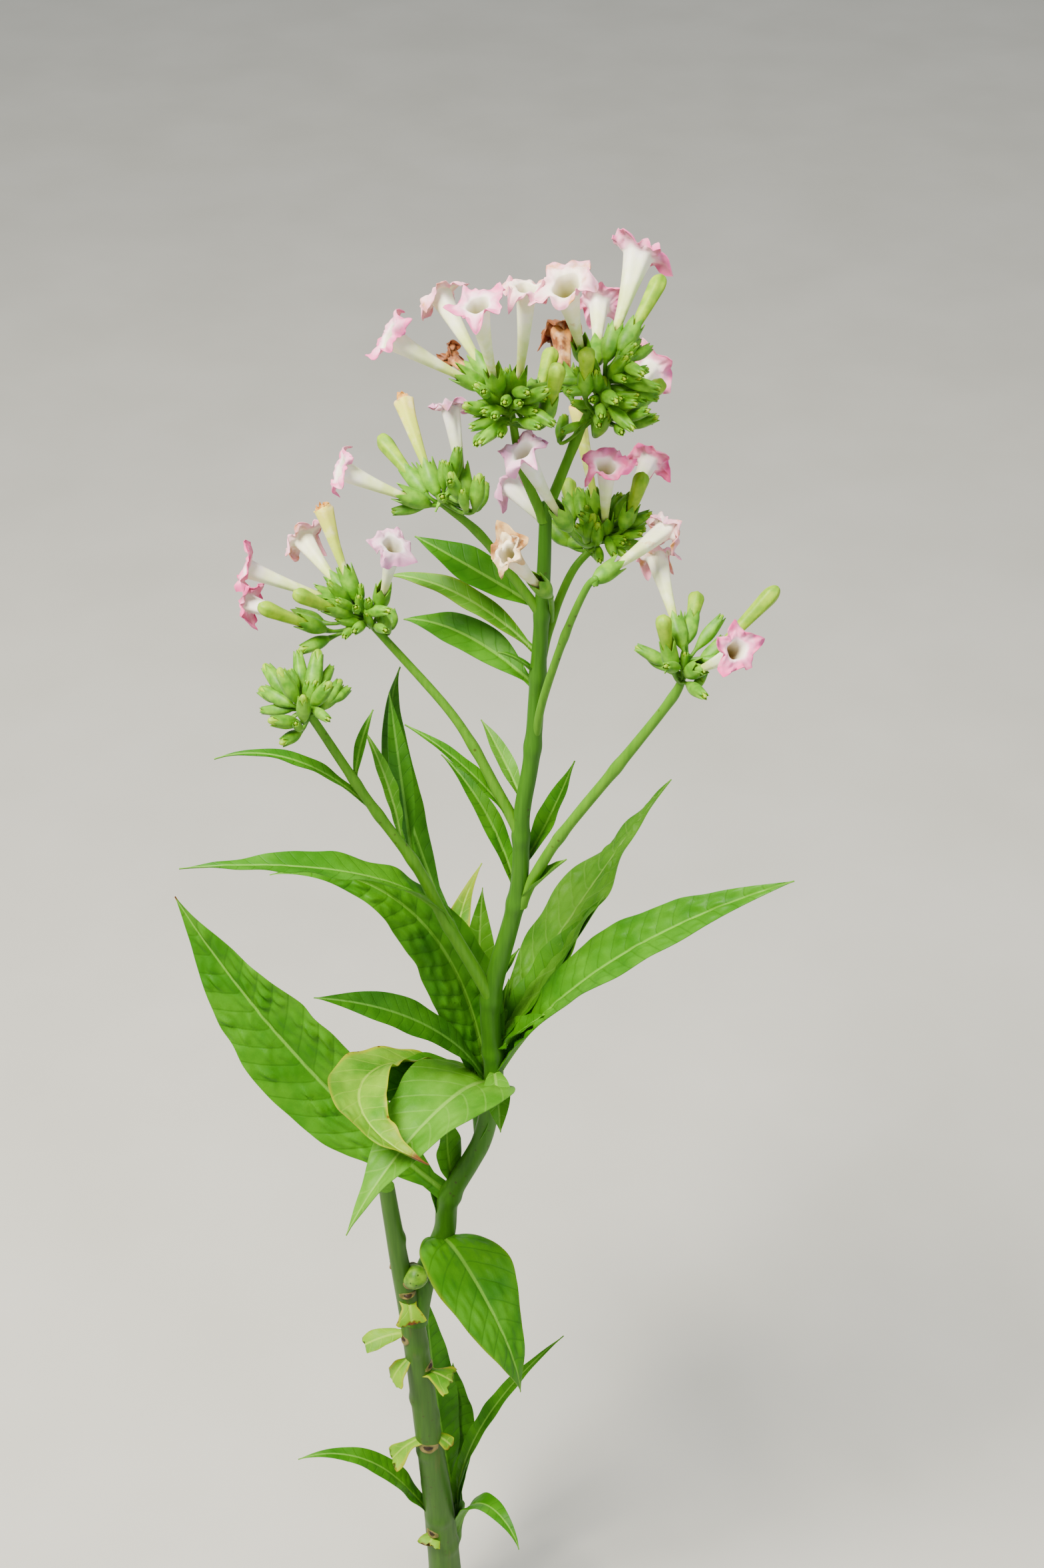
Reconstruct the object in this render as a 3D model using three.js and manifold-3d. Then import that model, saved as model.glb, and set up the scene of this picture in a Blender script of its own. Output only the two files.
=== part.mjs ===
// Tobacco plant that was topped once: a thick main stem, a flowering shoot from a bud low on it,
// boughs that end in clusters of trumpet flowers, and long lance-shaped leaves.
// Millimetres, +Z up. The origin is the middle of the flat cut under the main stem, at ground level.
import * as THREE from 'three';
import { mergeVertices } from 'three/addons/utils/BufferGeometryUtils.js';
import Module from 'manifold-3d';

const JOINT_GAP = 0.3;
const CUT_TOLERANCE = 0.1;
const BLADE_THICKNESS = 1.4;
const BLADE_STEP_LENGTH = 38;
const FEWEST_BLADE_STEPS = 3;
const BLADE_COLUMNS = 2;
const STEP_PARTS = 6;
const STEM_SIDES = 10;
const BOUGH_SIDES = 6;
const RINGS_PER_SPAN = 2;
const SMALL_CORE = 8;
const SMALL_BALL_DETAIL = 2;
const BALL_DETAIL = 3;
const HUMP_POWER = 1.15;
const FOOT_POWER = 1.5;
const LEAST_HALF_WIDTH = 0.8;
const HALVINGS = 24;
const SAME_POINT = 1e-3;
const UP = new THREE.Vector3(0, 0, 1);

// Limbs. Each one is a few points along its middle, from its foot to its tip, with the diameter
// at each point. A limb's foot lies on the middle line of the limb that carries it.
const LIMBS = [
  {
    name: 'main_stem',
    points: [[0, 0, 0], [-1, 0, 30], [-4, -1, 124], [-9, -5, 222], [-15, -9, 334], [-21, -11, 396], [-26, -14, 466]],
    diameters: [31, 23.5, 20.5, 17, 15, 11.5, 9.5],
  },
  {
    name: 'flowering_stem',
    carrier: 'main_stem',
    points: [[-14, -10, 340], [-7, -2, 372], [5, 9, 399], [9, 11, 429], [28, 12, 475], [34, 11, 512],
      [36, 10, 540], [35, 7, 594], [47, 3, 658], [51, 2, 690], [52, 2, 728], [57, 3, 766],
      [60, 4, 820], [62, 4, 864], [63, 4, 910]],
    diameters: [15, 14.5, 13.5, 12.5, 11.5, 11, 11, 11, 9.5, 9, 8.5, 8.2, 7.8, 7, 5.6],
  },
  {
    name: 'bough_left',
    carrier: 'flowering_stem',
    points: [[36, 6, 595], [12, -2, 659], [-2, -7, 701], [-24, -12, 747], [-45, -19, 797], [-50, -21, 809]],
    diameters: [7.5, 6.6, 5.8, 5, 4.2, 3.8],
  },
  {
    name: 'bough_upper_left',
    carrier: 'flowering_stem',
    points: [[51, 2, 716], [39, 5, 742], [28, 9, 765], [14, 14, 787], [-14, 21, 821], [-21, 23, 829]],
    diameters: [6.2, 5.6, 5, 4.6, 4, 3.6],
  },
  {
    name: 'bough_mid_left',
    carrier: 'flowering_stem',
    points: [[61, 4, 848], [46, 2, 873], [32, -3, 897], [15, -9, 917]],
    diameters: [5, 4.4, 4, 3.4],
  },
  {
    name: 'bough_right',
    carrier: 'flowering_stem',
    points: [[51, 2, 668], [58, -1, 688], [71, -8, 721], [98, -18, 773], [123, -27, 822], [127, -29, 838]],
    diameters: [6.8, 6, 5.4, 5.4, 4.4, 3.8],
  },
  {
    name: 'bough_mid_right',
    carrier: 'flowering_stem',
    points: [[60, 4, 812], [66, 9, 840], [76, 18, 863], [88, 24, 875]],
    diameters: [4.6, 4, 3.8, 3.4],
  },
  {
    name: 'bough_light',
    carrier: 'flowering_stem',
    points: [[58, 4, 770], [62, -4, 803], [72, -16, 849], [81, -24, 880], [86, -26, 888]],
    diameters: [4.6, 4, 3.8, 3.4, 3],
  },
  {
    name: 'withered_stalk',
    carrier: 'bough_mid_right',
    points: [[66, 9, 840], [66, 0, 855], [65, -12, 870]],
    diameters: [2.6, 2.4, 2.4],
  },
  {
    name: 'fork_left',
    carrier: 'flowering_stem',
    points: [[62, 4, 900], [52, -3, 931], [47, -7, 962]],
    diameters: [5, 4.2, 3.4],
  },
  {
    name: 'fork_right',
    carrier: 'flowering_stem',
    points: [[62, 4, 900], [76, 10, 937], [83, 12, 954]],
    diameters: [5, 4.2, 3.4],
  },
  {
    name: 'sucker_stem',
    carrier: 'main_stem',
    points: [[-2, 0, 56], [5, 7, 84], [10, 12, 118]],
    diameters: [11, 9, 7],
  },
];

// Leaves. Each blade grows from the middle line of its limb at a height above the ground. It sets
// out at an azimuth and turns by turn degrees on its way. It climbs at rise degrees at its foot and
// at droop degrees at its tip, and half of that change is made at the place bend along it. Widest is
// where it is broadest, neck the width of its winged foot, fold the lift of its two halves, and roll
// the turn of the blade about its midrib, which grows by twist towards the tip.
const LEAVES = [
  {
    name: 'leaf_bough_long', limb: 'bough_left', height: 655, length: 158, azimuth: 117, turn: 19,
    rise: 38, droop: 115, bend: 0.58, width: 18, widest: 0.5, neck: 8, fold: 18,
    roll: -15, twist: 0,
  },
  {
    name: 'leaf_bough_back', limb: 'bough_left', height: 706, length: 86, azimuth: 104, turn: 0,
    rise: 60, droop: 56, bend: 0.5, width: 12, widest: 0.5, neck: 5, fold: 15,
    roll: 0, twist: 0,
  },
  {
    name: 'leaf_bough_curled', limb: 'bough_left', height: 717, length: 64, azimuth: 130, turn: 0,
    rise: 85, droop: 45, bend: 0.5, width: 9, widest: 0.5, neck: 4, fold: 20,
    roll: 0, twist: 0,
  },
  {
    name: 'leaf_bough_bract', limb: 'bough_left', height: 761, length: 38, azimuth: 60, turn: 0,
    rise: 80, droop: 40, bend: 0.5, width: 6, widest: 0.5, neck: 3, fold: 20,
    roll: 0, twist: 0,
  },
  {
    name: 'leaf_bough_side', limb: 'bough_left', height: 738, length: 96, azimuth: 189, turn: 3,
    rise: 53, droop: -14, bend: 0.7, width: 8, widest: 0.5, neck: 4, fold: 20,
    roll: -15, twist: 0,
  },
  {
    name: 'leaf_bough_left', limb: 'bough_left', height: 655, length: 165, azimuth: 212, turn: -30,
    rise: 80, droop: -5, bend: 0.32, width: 22, widest: 0.43, neck: 8, fold: 18,
    roll: 0, twist: 0,
  },
  {
    name: 'leaf_left_blistered', limb: 'flowering_stem', height: 512, length: 227, azimuth: 144, turn: 55,
    rise: 82, droop: -3, bend: 0.72, width: 40, widest: 0.4, neck: 12, fold: 19,
    roll: -64, twist: 14,
  },
  {
    name: 'leaf_left_strap', limb: 'flowering_stem', height: 516, length: 155, azimuth: 206, turn: -6,
    rise: 77, droop: 22, bend: 0.47, width: 20, widest: 0.6, neck: 8, fold: 12,
    roll: -30, twist: -10,
  },
  {
    name: 'leaf_back_small', limb: 'flowering_stem', height: 508, length: 76, azimuth: 124, turn: 0,
    rise: 60, droop: 100, bend: 0.5, width: 10, widest: 0.5, neck: 5, fold: 20,
    roll: 0, twist: 0,
  },
  {
    name: 'leaf_back_yellow', limb: 'flowering_stem', height: 520, length: 141, azimuth: 131, turn: -75,
    rise: 33, droop: 31, bend: 0.5, width: 20, widest: 0.5, neck: 7, fold: 20,
    roll: 0, twist: 0,
  },
  {
    name: 'leaf_back_upright', limb: 'flowering_stem', height: 534, length: 107, azimuth: 112, turn: -36,
    rise: 45, droop: 70, bend: 0.5, width: 20, widest: 0.52, neck: 7, fold: 18,
    roll: 8, twist: 0,
  },
  {
    name: 'leaf_low_left', limb: 'flowering_stem', height: 430, length: 248, azimuth: 169, turn: -20,
    rise: 41, droop: 56, bend: 0.5, width: 56, widest: 0.49, neck: 12, fold: 10,
    roll: -53, twist: -20,
  },
  {
    name: 'leaf_yellow_edged', limb: 'flowering_stem', height: 506, length: 182, azimuth: 143, turn: 205,
    rise: 37, droop: -18, bend: 0.65, width: 36, widest: 0.55, neck: 10, fold: 24,
    roll: 44, twist: -67,
  },
  {
    name: 'leaf_front_drooping', limb: 'flowering_stem', height: 524, length: 145, azimuth: 238, turn: -12,
    rise: 65, droop: -49, bend: 0.33, width: 58, widest: 0.3, neck: 9, fold: 15,
    roll: -3, twist: 27,
  },
  {
    name: 'leaf_small_hanging', limb: 'flowering_stem', height: 536, length: 46, azimuth: 276, turn: 0,
    rise: 40, droop: -55, bend: 0.45, width: 15, widest: 0.5, neck: 5, fold: 8,
    roll: 0, twist: 0,
  },
  {
    name: 'leaf_small_curly', limb: 'flowering_stem', height: 548, length: 56, azimuth: 333, turn: 0,
    rise: 60, droop: 50, bend: 0.5, width: 16, widest: 0.55, neck: 5, fold: 22,
    roll: 10, twist: 0,
  },
  {
    name: 'leaf_right_big', limb: 'flowering_stem', height: 528, length: 242, azimuth: 338, turn: 18,
    rise: 69, droop: 25, bend: 0.53, width: 36, widest: 0.5, neck: 10, fold: 20,
    roll: 8, twist: 16,
  },
  {
    name: 'leaf_right_folded', limb: 'flowering_stem', height: 552, length: 110, azimuth: 26, turn: 7,
    rise: 50, droop: 50, bend: 0.5, width: 26, widest: 0.45, neck: 8, fold: 28,
    roll: -8, twist: -10,
  },
  {
    name: 'leaf_right_back', limb: 'flowering_stem', height: 556, length: 182, azimuth: 45, turn: 2,
    rise: 47, droop: 25, bend: 0.52, width: 50, widest: 0.46, neck: 10, fold: 6,
    roll: -15, twist: -30,
  },
  {
    name: 'leaf_fork_left', limb: 'flowering_stem', height: 714, length: 87, azimuth: 169, turn: 0,
    rise: 64, droop: 29, bend: 0.5, width: 9, widest: 0.5, neck: 4, fold: 20,
    roll: -10, twist: 0,
  },
  {
    name: 'leaf_stem_left', limb: 'flowering_stem', height: 672, length: 88, azimuth: 131, turn: 6,
    rise: 75, droop: 19, bend: 0.54, width: 12, widest: 0.5, neck: 5, fold: 20,
    roll: -10, twist: 0,
  },
  {
    name: 'leaf_stem_axil', limb: 'flowering_stem', height: 734, length: 49, azimuth: 124, turn: 0,
    rise: 50, droop: 25, bend: 0.53, width: 10, widest: 0.5, neck: 4, fold: 20,
    roll: 0, twist: 0,
  },
  {
    name: 'leaf_stem_right', limb: 'flowering_stem', height: 690, length: 66, azimuth: 36, turn: 2,
    rise: 52, droop: 64, bend: 0.5, width: 13, widest: 0.5, neck: 5, fold: 20,
    roll: 0, twist: 0,
  },
  {
    name: 'leaf_fork_right', limb: 'flowering_stem', height: 666, length: 50, azimuth: 337, turn: 0,
    rise: 60, droop: 50, bend: 0.5, width: 10, widest: 0.5, neck: 5, fold: 28,
    roll: 10, twist: 0,
  },
  {
    name: 'leaf_high_left', limb: 'flowering_stem', height: 850, length: 70, azimuth: 161, turn: -4,
    rise: 27, droop: 18, bend: 0.5, width: 20, widest: 0.52, neck: 4, fold: 13,
    roll: -25, twist: 0,
  },
  {
    name: 'leaf_back_left', limb: 'flowering_stem', height: 824, length: 89, azimuth: 155, turn: -2,
    rise: 39, droop: -17, bend: 0.6, width: 13, widest: 0.5, neck: 4, fold: 12,
    roll: -15, twist: 0,
  },
  {
    name: 'leaf_back_low_left', limb: 'flowering_stem', height: 805, length: 83, azimuth: 148, turn: -2,
    rise: 32, droop: -22, bend: 0.58, width: 20, widest: 0.5, neck: 5, fold: 12,
    roll: -20, twist: 0,
  },
  {
    name: 'leaf_low_front', limb: 'flowering_stem', height: 394, length: 130, azimuth: 292, turn: 26,
    rise: 75, droop: -85, bend: 0.3, width: 52, widest: 0.36, neck: 12, fold: 4,
    roll: -10, twist: 0,
  },
  {
    name: 'leaf_sucker_tall', limb: 'sucker_stem', height: 100, length: 205, azimuth: 120, turn: -4,
    rise: 73, droop: 86, bend: 0.5, width: 28, widest: 0.53, neck: 8, fold: 15,
    roll: 0, twist: 0,
  },
  {
    name: 'leaf_sucker_dark', limb: 'sucker_stem', height: 106, length: 137, azimuth: 95, turn: -4,
    rise: 61, droop: 98, bend: 0.5, width: 28, widest: 0.55, neck: 8, fold: 13,
    roll: -8, twist: 0,
  },
  {
    name: 'leaf_sucker_right', limb: 'sucker_stem', height: 104, length: 195, azimuth: 9, turn: 5,
    rise: 92, droop: 43, bend: 0.5, width: 13, widest: 0.5, neck: 6, fold: 20,
    roll: 15, twist: 0,
  },
  {
    name: 'leaf_sucker_upright', limb: 'sucker_stem', height: 108, length: 80, azimuth: 48, turn: -5,
    rise: 95, droop: 51, bend: 0.55, width: 12, widest: 0.5, neck: 5, fold: 20,
    roll: 0, twist: 0,
  },
  {
    name: 'leaf_sucker_droop', limb: 'sucker_stem', height: 84, length: 125, azimuth: 320, turn: -16,
    rise: 75, droop: -72, bend: 0.8, width: 18, widest: 0.5, neck: 7, fold: 12,
    roll: 0, twist: 0,
  },
  {
    name: 'leaf_base_left', limb: 'main_stem', height: 106, length: 150, azimuth: 188, turn: 6,
    rise: 68, droop: -14, bend: 0.8, width: 17, widest: 0.5, neck: 7, fold: 15,
    roll: -15, twist: 0,
  },
  {
    name: 'leaf_stub_front', limb: 'main_stem', height: 364, length: 23, azimuth: 284, turn: 0,
    rise: 5, droop: -76, bend: 0.4, width: 19, widest: 0.7, neck: 13, fold: -8,
    roll: -10, twist: 0,
  },
  {
    name: 'leaf_stub_left', limb: 'main_stem', height: 306, length: 28, azimuth: 214, turn: 0,
    rise: 10, droop: -72, bend: 0.4, width: 18, widest: 0.7, neck: 10, fold: -8,
    roll: 10, twist: 0,
  },
  {
    name: 'leaf_stub_right', limb: 'main_stem', height: 288, length: 26, azimuth: 338, turn: 0,
    rise: 35, droop: -30, bend: 0.4, width: 25, widest: 0.7, neck: 15, fold: -8,
    roll: -20, twist: 0,
  },
  {
    name: 'leaf_stub_low', limb: 'main_stem', height: 216, length: 34, azimuth: 206, turn: 0,
    rise: 25, droop: -56, bend: 0.4, width: 20, widest: 0.7, neck: 12, fold: -8,
    roll: 15, twist: 0,
  },
];

// Flower and bud clusters. Each is one uneven closed solid: a core that the bough enters, and a
// lobe out to each flower or group of buds. A lobe is [azimuth, elevation, reach from the middle].
const LOBE_SPREAD = 20;
const CLUSTERS = [
  {
    name: 'buds_left', middle: [-52, -22, 813], core: 14,
    lobes: [[198, 50, 28], [229, -20, 18], [77, 79, 27], [0, 47, 32], [341, 13, 25], [295, -50, 18], [270, 36, 27], [88, 20, 20]],
  },
  {
    name: 'flowers_left', middle: [-27, 24, 838], core: 15,
    lobes: [[180, 18, 64], [195, 21, 52], [165, 53, 56], [164, 73, 62], [29, 65, 50], [352, 54, 50], [198, -27, 36], [122, 29, 32], [58, 11, 30]],
  },
  {
    name: 'flowers_mid_left', middle: [12, -12, 921], core: 12,
    lobes: [[180, 23, 52], [200, 57, 43], [162, 75, 48], [335, 73, 48], [21, -13, 23], [143, -30, 22], [91, 30, 24]],
  },
  {
    name: 'flower_withered', middle: [64, -14, 876], core: 5,
    lobes: [[190, 56, 38], [208, 36, 28], [151, 53, 28]],
  },
  {
    name: 'flowers_top_left', middle: [47, -8, 970], core: 17,
    lobes: [[176, 29, 65], [169, 60, 66], [241, 67, 72], [16, 83, 66], [342, 55, 34], [20, 30, 28], [198, -7, 34], [228, -55, 19], [93, 44, 38], [130, 29, 40]],
  },
  {
    name: 'flowers_top_right', middle: [86, 12, 958], core: 17,
    lobes: [[197, 68, 70], [172, 79, 78], [269, 73, 68], [24, 76, 84], [7, 66, 78], [29, 58, 64], [332, 48, 40], [29, 11, 38], [352, 4, 31], [333, -34, 26], [265, -59, 30]],
  },
  {
    name: 'flowers_mid_right', middle: [91, 25, 876], core: 12,
    lobes: [[214, 80, 58], [302, 73, 58], [7, 54, 58], [37, 55, 42], [346, 37, 31], [232, 53, 30], [156, 57, 45], [64, 16, 28]],
  },
  {
    name: 'flower_single', middle: [89, -26, 889], core: 6,
    lobes: [[6, 35, 44], [340, 34, 36], [19, 46, 37]],
  },
  {
    name: 'flowers_right', middle: [128, -30, 843], core: 13,
    lobes: [[180, 67, 72], [213, 77, 68], [217, 60, 40], [75, 81, 38], [332, 37, 54], [309, 13, 34], [347, 49, 42], [5, 43, 60], [180, 0, 20], [71, 9, 24]],
  },
];

// The swollen green knob of a side shoot that was cut off, in the fork above the lowest leaf feet.
const KNOB = { name: 'stem_knob', middle: [-10, -15, 387], core: 7.5, lobes: [] };

const MATERIALS = {
  main_stem: new THREE.MeshStandardMaterial({ color: 0x8a9a5a, roughness: 0.6, metalness: 0 }),
  limb: new THREE.MeshStandardMaterial({ color: 0x6f9a3c, roughness: 0.55, metalness: 0 }),
  leaf: new THREE.MeshStandardMaterial({ color: 0x62a032, roughness: 0.6, metalness: 0, side: THREE.DoubleSide }),
  cluster: new THREE.MeshStandardMaterial({ color: 0xe3cdbb, roughness: 0.7, metalness: 0 }),
};

const wasm = await Module();
wasm.setup();

const radians = (degrees) => degrees * Math.PI / 180;

// A limb's middle line, and its radius at a place between its foot (0) and its tip (1).
function limbShape(limb) {
  const line = new THREE.CatmullRomCurve3(limb.points.map((p) => new THREE.Vector3(...p)), false, 'catmullrom', 0.5);
  const spans = limb.points.length - 1;
  const radiusAt = (place) => {
    const span = Math.min(Math.floor(place * spans), spans - 1);
    return THREE.MathUtils.lerp(limb.diameters[span], limb.diameters[span + 1], place * spans - span) / 2;
  };
  return { line, spans, radiusAt };
}

// The point on a limb's middle line at a height above the ground, found by halving the line.
function pointAtHeight(limb, height) {
  const { line } = limbShape(limb);
  let low = 0;
  let high = 1;
  for (let step = 0; step < HALVINGS; step += 1) {
    const middle = (low + high) / 2;
    if (line.getPoint(middle).z < height) low = middle;
    else high = middle;
  }
  return line.getPoint(low);
}

// A closed solid from a three.js geometry whose points are moved by a function.
function solidFrom(geometry, move) {
  const place = geometry.getAttribute('position');
  const point = new THREE.Vector3();
  for (let i = 0; i < place.count; i += 1) {
    point.fromBufferAttribute(place, i);
    const moved = move(point);
    place.setXYZ(i, moved.x, moved.y, moved.z);
  }
  geometry.deleteAttribute('normal');
  geometry.deleteAttribute('uv');
  const merged = mergeVertices(geometry, SAME_POINT);
  return new wasm.Manifold(new wasm.Mesh({
    numProp: 3,
    vertProperties: merged.getAttribute('position').array,
    triVerts: new Uint32Array(merged.index.array),
  }));
}

// A limb: a capped cylinder that is carried along the middle line and takes its taper.
// The side vector starts square to the line and is turned with it from ring to ring.
function limbSolid(limb, allowance = 0) {
  const { line, spans, radiusAt } = limbShape(limb);
  const rings = spans * RINGS_PER_SPAN;
  const frames = [];
  let side = new THREE.Vector3(1, 0, 0);
  for (let i = 0; i <= rings; i += 1) {
    const place = i / rings;
    const ahead = i === 0 && !limb.carrier ? UP.clone() : line.getTangent(place);
    side = side.clone().addScaledVector(ahead, -side.dot(ahead)).normalize();
    const front = new THREE.Vector3().crossVectors(ahead, side);
    frames.push({ middle: line.getPoint(place), side, front, radius: radiusAt(place) + allowance });
  }
  const sides = limb.carrier ? BOUGH_SIDES : STEM_SIDES;
  const cylinder = new THREE.CylinderGeometry(1, 1, 1, sides, rings);
  return solidFrom(cylinder, (p) => {
    const frame = frames[Math.round((p.y + 0.5) * rings)];
    return frame.middle.clone()
      .addScaledVector(frame.side, p.z * frame.radius)
      .addScaledVector(frame.front, p.x * frame.radius);
  });
}

// Half the width of a blade at a place between its foot (0) and its tip (1): a sine hump whose
// peak is moved to the widest place, with a narrow winged foot.
function bladeHalfWidth(leaf, place) {
  const skew = Math.log(0.5) / Math.log(leaf.widest);
  const hump = Math.sin(Math.PI * place ** skew) ** HUMP_POWER;
  return Math.max(leaf.width / 2 * hump, leaf.neck / 2 * (1 - place) ** FOOT_POWER, LEAST_HALF_WIDTH);
}

// The midrib of a leaf as short straight steps, each with its point, its way ahead and the level
// direction across it.
function midribFrames(leaf, foot, steps) {
  const bending = Math.log(0.5) / Math.log(leaf.bend);
  const frames = [];
  const point = foot.clone();
  const wayAt = (place) => {
    const climb = radians(leaf.rise + (leaf.droop - leaf.rise) * place ** bending);
    const heading = radians(leaf.azimuth + leaf.turn * place);
    const ahead = new THREE.Vector3(
      Math.cos(climb) * Math.cos(heading),
      Math.cos(climb) * Math.sin(heading),
      Math.sin(climb),
    );
    return { ahead, across: new THREE.Vector3(-Math.sin(heading), Math.cos(heading), 0) };
  };
  for (let i = 0; i <= steps; i += 1) {
    frames.push({ point: point.clone(), ...wayAt(i / steps) });
    for (let part = 0; part < STEP_PARTS; part += 1) {
      const place = (i + (part + 0.5) / STEP_PARTS) / steps;
      point.addScaledVector(wayAt(place).ahead, leaf.length / steps / STEP_PARTS);
    }
  }
  return frames;
}

// A leaf: a thin slab that is bent along its midrib, with its two halves folded up.
function leafSolid(leaf, foot, allowance = 0) {
  const steps = Math.round(FEWEST_BLADE_STEPS + leaf.length / BLADE_STEP_LENGTH);
  const frames = midribFrames(leaf, foot, steps);
  const slab = new THREE.BoxGeometry(2, 2, 1, BLADE_COLUMNS, 1, steps);
  const fold = radians(leaf.fold);
  const halfThickness = BLADE_THICKNESS / 2 + allowance;
  return solidFrom(slab, (p) => {
    const place = p.z + 0.5;
    const { point, ahead, across } = frames[Math.round(place * steps)];
    const face = new THREE.Vector3().crossVectors(ahead, across);
    const roll = radians(leaf.roll + leaf.twist * place);
    const left = across.clone().multiplyScalar(Math.cos(roll)).addScaledVector(face, Math.sin(roll));
    const top = new THREE.Vector3().crossVectors(ahead, left);
    const half = bladeHalfWidth(leaf, place) + allowance;
    return point.clone()
      .addScaledVector(left, p.x * half * Math.cos(fold))
      .addScaledVector(top, Math.abs(p.x) * half * Math.sin(fold) + p.y * halfThickness);
  });
}

// A cluster: a ball whose surface is drawn out towards each flower.
function clusterSolid(cluster, allowance = 0) {
  const middle = new THREE.Vector3(...cluster.middle);
  const lobes = cluster.lobes.map(([azimuth, elevation, reach]) => ({
    way: new THREE.Vector3().setFromSphericalCoords(1, radians(90 - elevation), radians(azimuth)),
    reach,
  }));
  for (const lobe of lobes) lobe.way.set(lobe.way.z, lobe.way.x, lobe.way.y);
  const ball = new THREE.IcosahedronGeometry(1, cluster.core > SMALL_CORE ? BALL_DETAIL : SMALL_BALL_DETAIL);
  return solidFrom(ball, (p) => {
    const way = p.clone().normalize();
    let reach = cluster.core;
    for (const lobe of lobes) {
      const turn = THREE.MathUtils.radToDeg(way.angleTo(lobe.way)) / LOBE_SPREAD;
      reach = Math.max(reach, cluster.core + (lobe.reach - cluster.core) * Math.exp(-(turn ** 3)));
    }
    return way.multiplyScalar(reach + allowance).add(middle);
  });
}

// Cutting away the neighbours leaves the joint gap. What a cut strands is dropped, and so are
// points that hardly bend the surface.
function trimmed(solid, neighbours) {
  let left = solid;
  for (const neighbour of neighbours) left = left.subtract(neighbour);
  return left.simplify(CUT_TOLERANCE).decompose().sort((a, b) => b.volume() - a.volume())[0];
}

function meshOf(name, solid, material) {
  const { numProp, vertProperties, triVerts } = solid.getMesh();
  const geometry = new THREE.BufferGeometry();
  const points = new THREE.InterleavedBuffer(vertProperties, numProp);
  geometry.setAttribute('position', new THREE.InterleavedBufferAttribute(points, 3, 0));
  geometry.setIndex(new THREE.BufferAttribute(triVerts, 1));
  const flat = geometry.toNonIndexed();
  flat.computeVertexNormals();
  const mesh = new THREE.Mesh(flat, material.clone());
  mesh.name = name;
  return mesh;
}

const plant = new THREE.Group();
const limbNamed = new Map(LIMBS.map((limb) => [limb.name, limb]));
const grown = [];

for (const cluster of CLUSTERS) {
  plant.add(meshOf(cluster.name, trimmed(clusterSolid(cluster), grown), MATERIALS.cluster));
  grown.push(clusterSolid(cluster, JOINT_GAP));
}

for (const limb of LIMBS) {
  const material = limb.carrier ? MATERIALS.limb : MATERIALS.main_stem;
  plant.add(meshOf(limb.name, trimmed(limbSolid(limb), grown), material));
  grown.push(limbSolid(limb, JOINT_GAP));
}

plant.add(meshOf(KNOB.name, trimmed(clusterSolid(KNOB), grown), MATERIALS.limb));
grown.push(clusterSolid(KNOB, JOINT_GAP));

for (const leaf of LEAVES) {
  const foot = pointAtHeight(limbNamed.get(leaf.limb), leaf.height);
  plant.add(meshOf(leaf.name, trimmed(leafSolid(leaf, foot), grown), MATERIALS.leaf));
  grown.push(leafSolid(leaf, foot, JOINT_GAP));
}

export default plant;
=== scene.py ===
"""Tobacco plant in flower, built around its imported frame. Blender's units are metres, and the sizes
here are millimetres."""
import math

import bpy
import numpy as np
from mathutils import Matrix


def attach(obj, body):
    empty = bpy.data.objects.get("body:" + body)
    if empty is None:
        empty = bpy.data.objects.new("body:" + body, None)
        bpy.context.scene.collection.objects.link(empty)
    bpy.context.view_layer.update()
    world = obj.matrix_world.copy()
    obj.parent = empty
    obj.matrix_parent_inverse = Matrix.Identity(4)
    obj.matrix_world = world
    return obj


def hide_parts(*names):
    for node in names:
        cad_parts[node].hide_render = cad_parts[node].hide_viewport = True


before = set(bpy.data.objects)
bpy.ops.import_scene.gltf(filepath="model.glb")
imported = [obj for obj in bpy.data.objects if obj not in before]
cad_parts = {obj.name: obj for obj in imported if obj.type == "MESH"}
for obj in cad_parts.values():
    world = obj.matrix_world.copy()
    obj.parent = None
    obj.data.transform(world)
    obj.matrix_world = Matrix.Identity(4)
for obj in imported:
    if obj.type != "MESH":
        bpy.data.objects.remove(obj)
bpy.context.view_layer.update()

MM = 0.001


# The view is from eye height, 1.4 m above the ground and 0.9 m in front of the plant, looking down
# through a normal lens. The plant's upper flowers are nearest to it.
EYE = (0.052, -0.859, 1.420)
LOOKING_DOWN = 38
LENS = 50
SENSOR_WIDTH = 36

camera_data = bpy.data.cameras.new("photo_view")
camera_data.lens = LENS
camera_data.sensor_width = SENSOR_WIDTH
camera = bpy.data.objects.new("photo_view", camera_data)
camera.location = EYE
camera.rotation_euler = (math.radians(90 - LOOKING_DOWN), 0, 0)
bpy.context.scene.collection.objects.link(camera)
bpy.context.scene.camera = camera


# The floor is a wide sheet of matt pale card, lit by two large soft lamps: a warm key high on the
# left, and a weak cool fill on the right. Pale studio air lights the rest evenly.
CARD_SIZE = 12.0
LAMPS = {
    "key_lamp": {"at": (-0.75, -0.55, 2.5), "size": 0.8, "power": 165, "colour": "#FFF6E6"},
    "fill_lamp": {"at": (1.4, -0.9, 1.7), "size": 1.6, "power": 18, "colour": "#EAF2FF"},
}
LIT_POINT = np.array((0.03, 0.0, 0.62))
AIR_COLOUR = "#F2F6FA"
AIR_STRENGTH = 0.55


def linear(hex_colour):
    """sRGB hex to linear: c / 12.92 below 0.04045, ((c + 0.055) / 1.055) ** 2.4 above it."""
    c = np.array([int(hex_colour[i:i + 2], 16) for i in (1, 3, 5)]) / 255
    return (*np.where(c < 0.04045, c / 12.92, ((c + 0.055) / 1.055) ** 2.4), 1.0)


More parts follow.
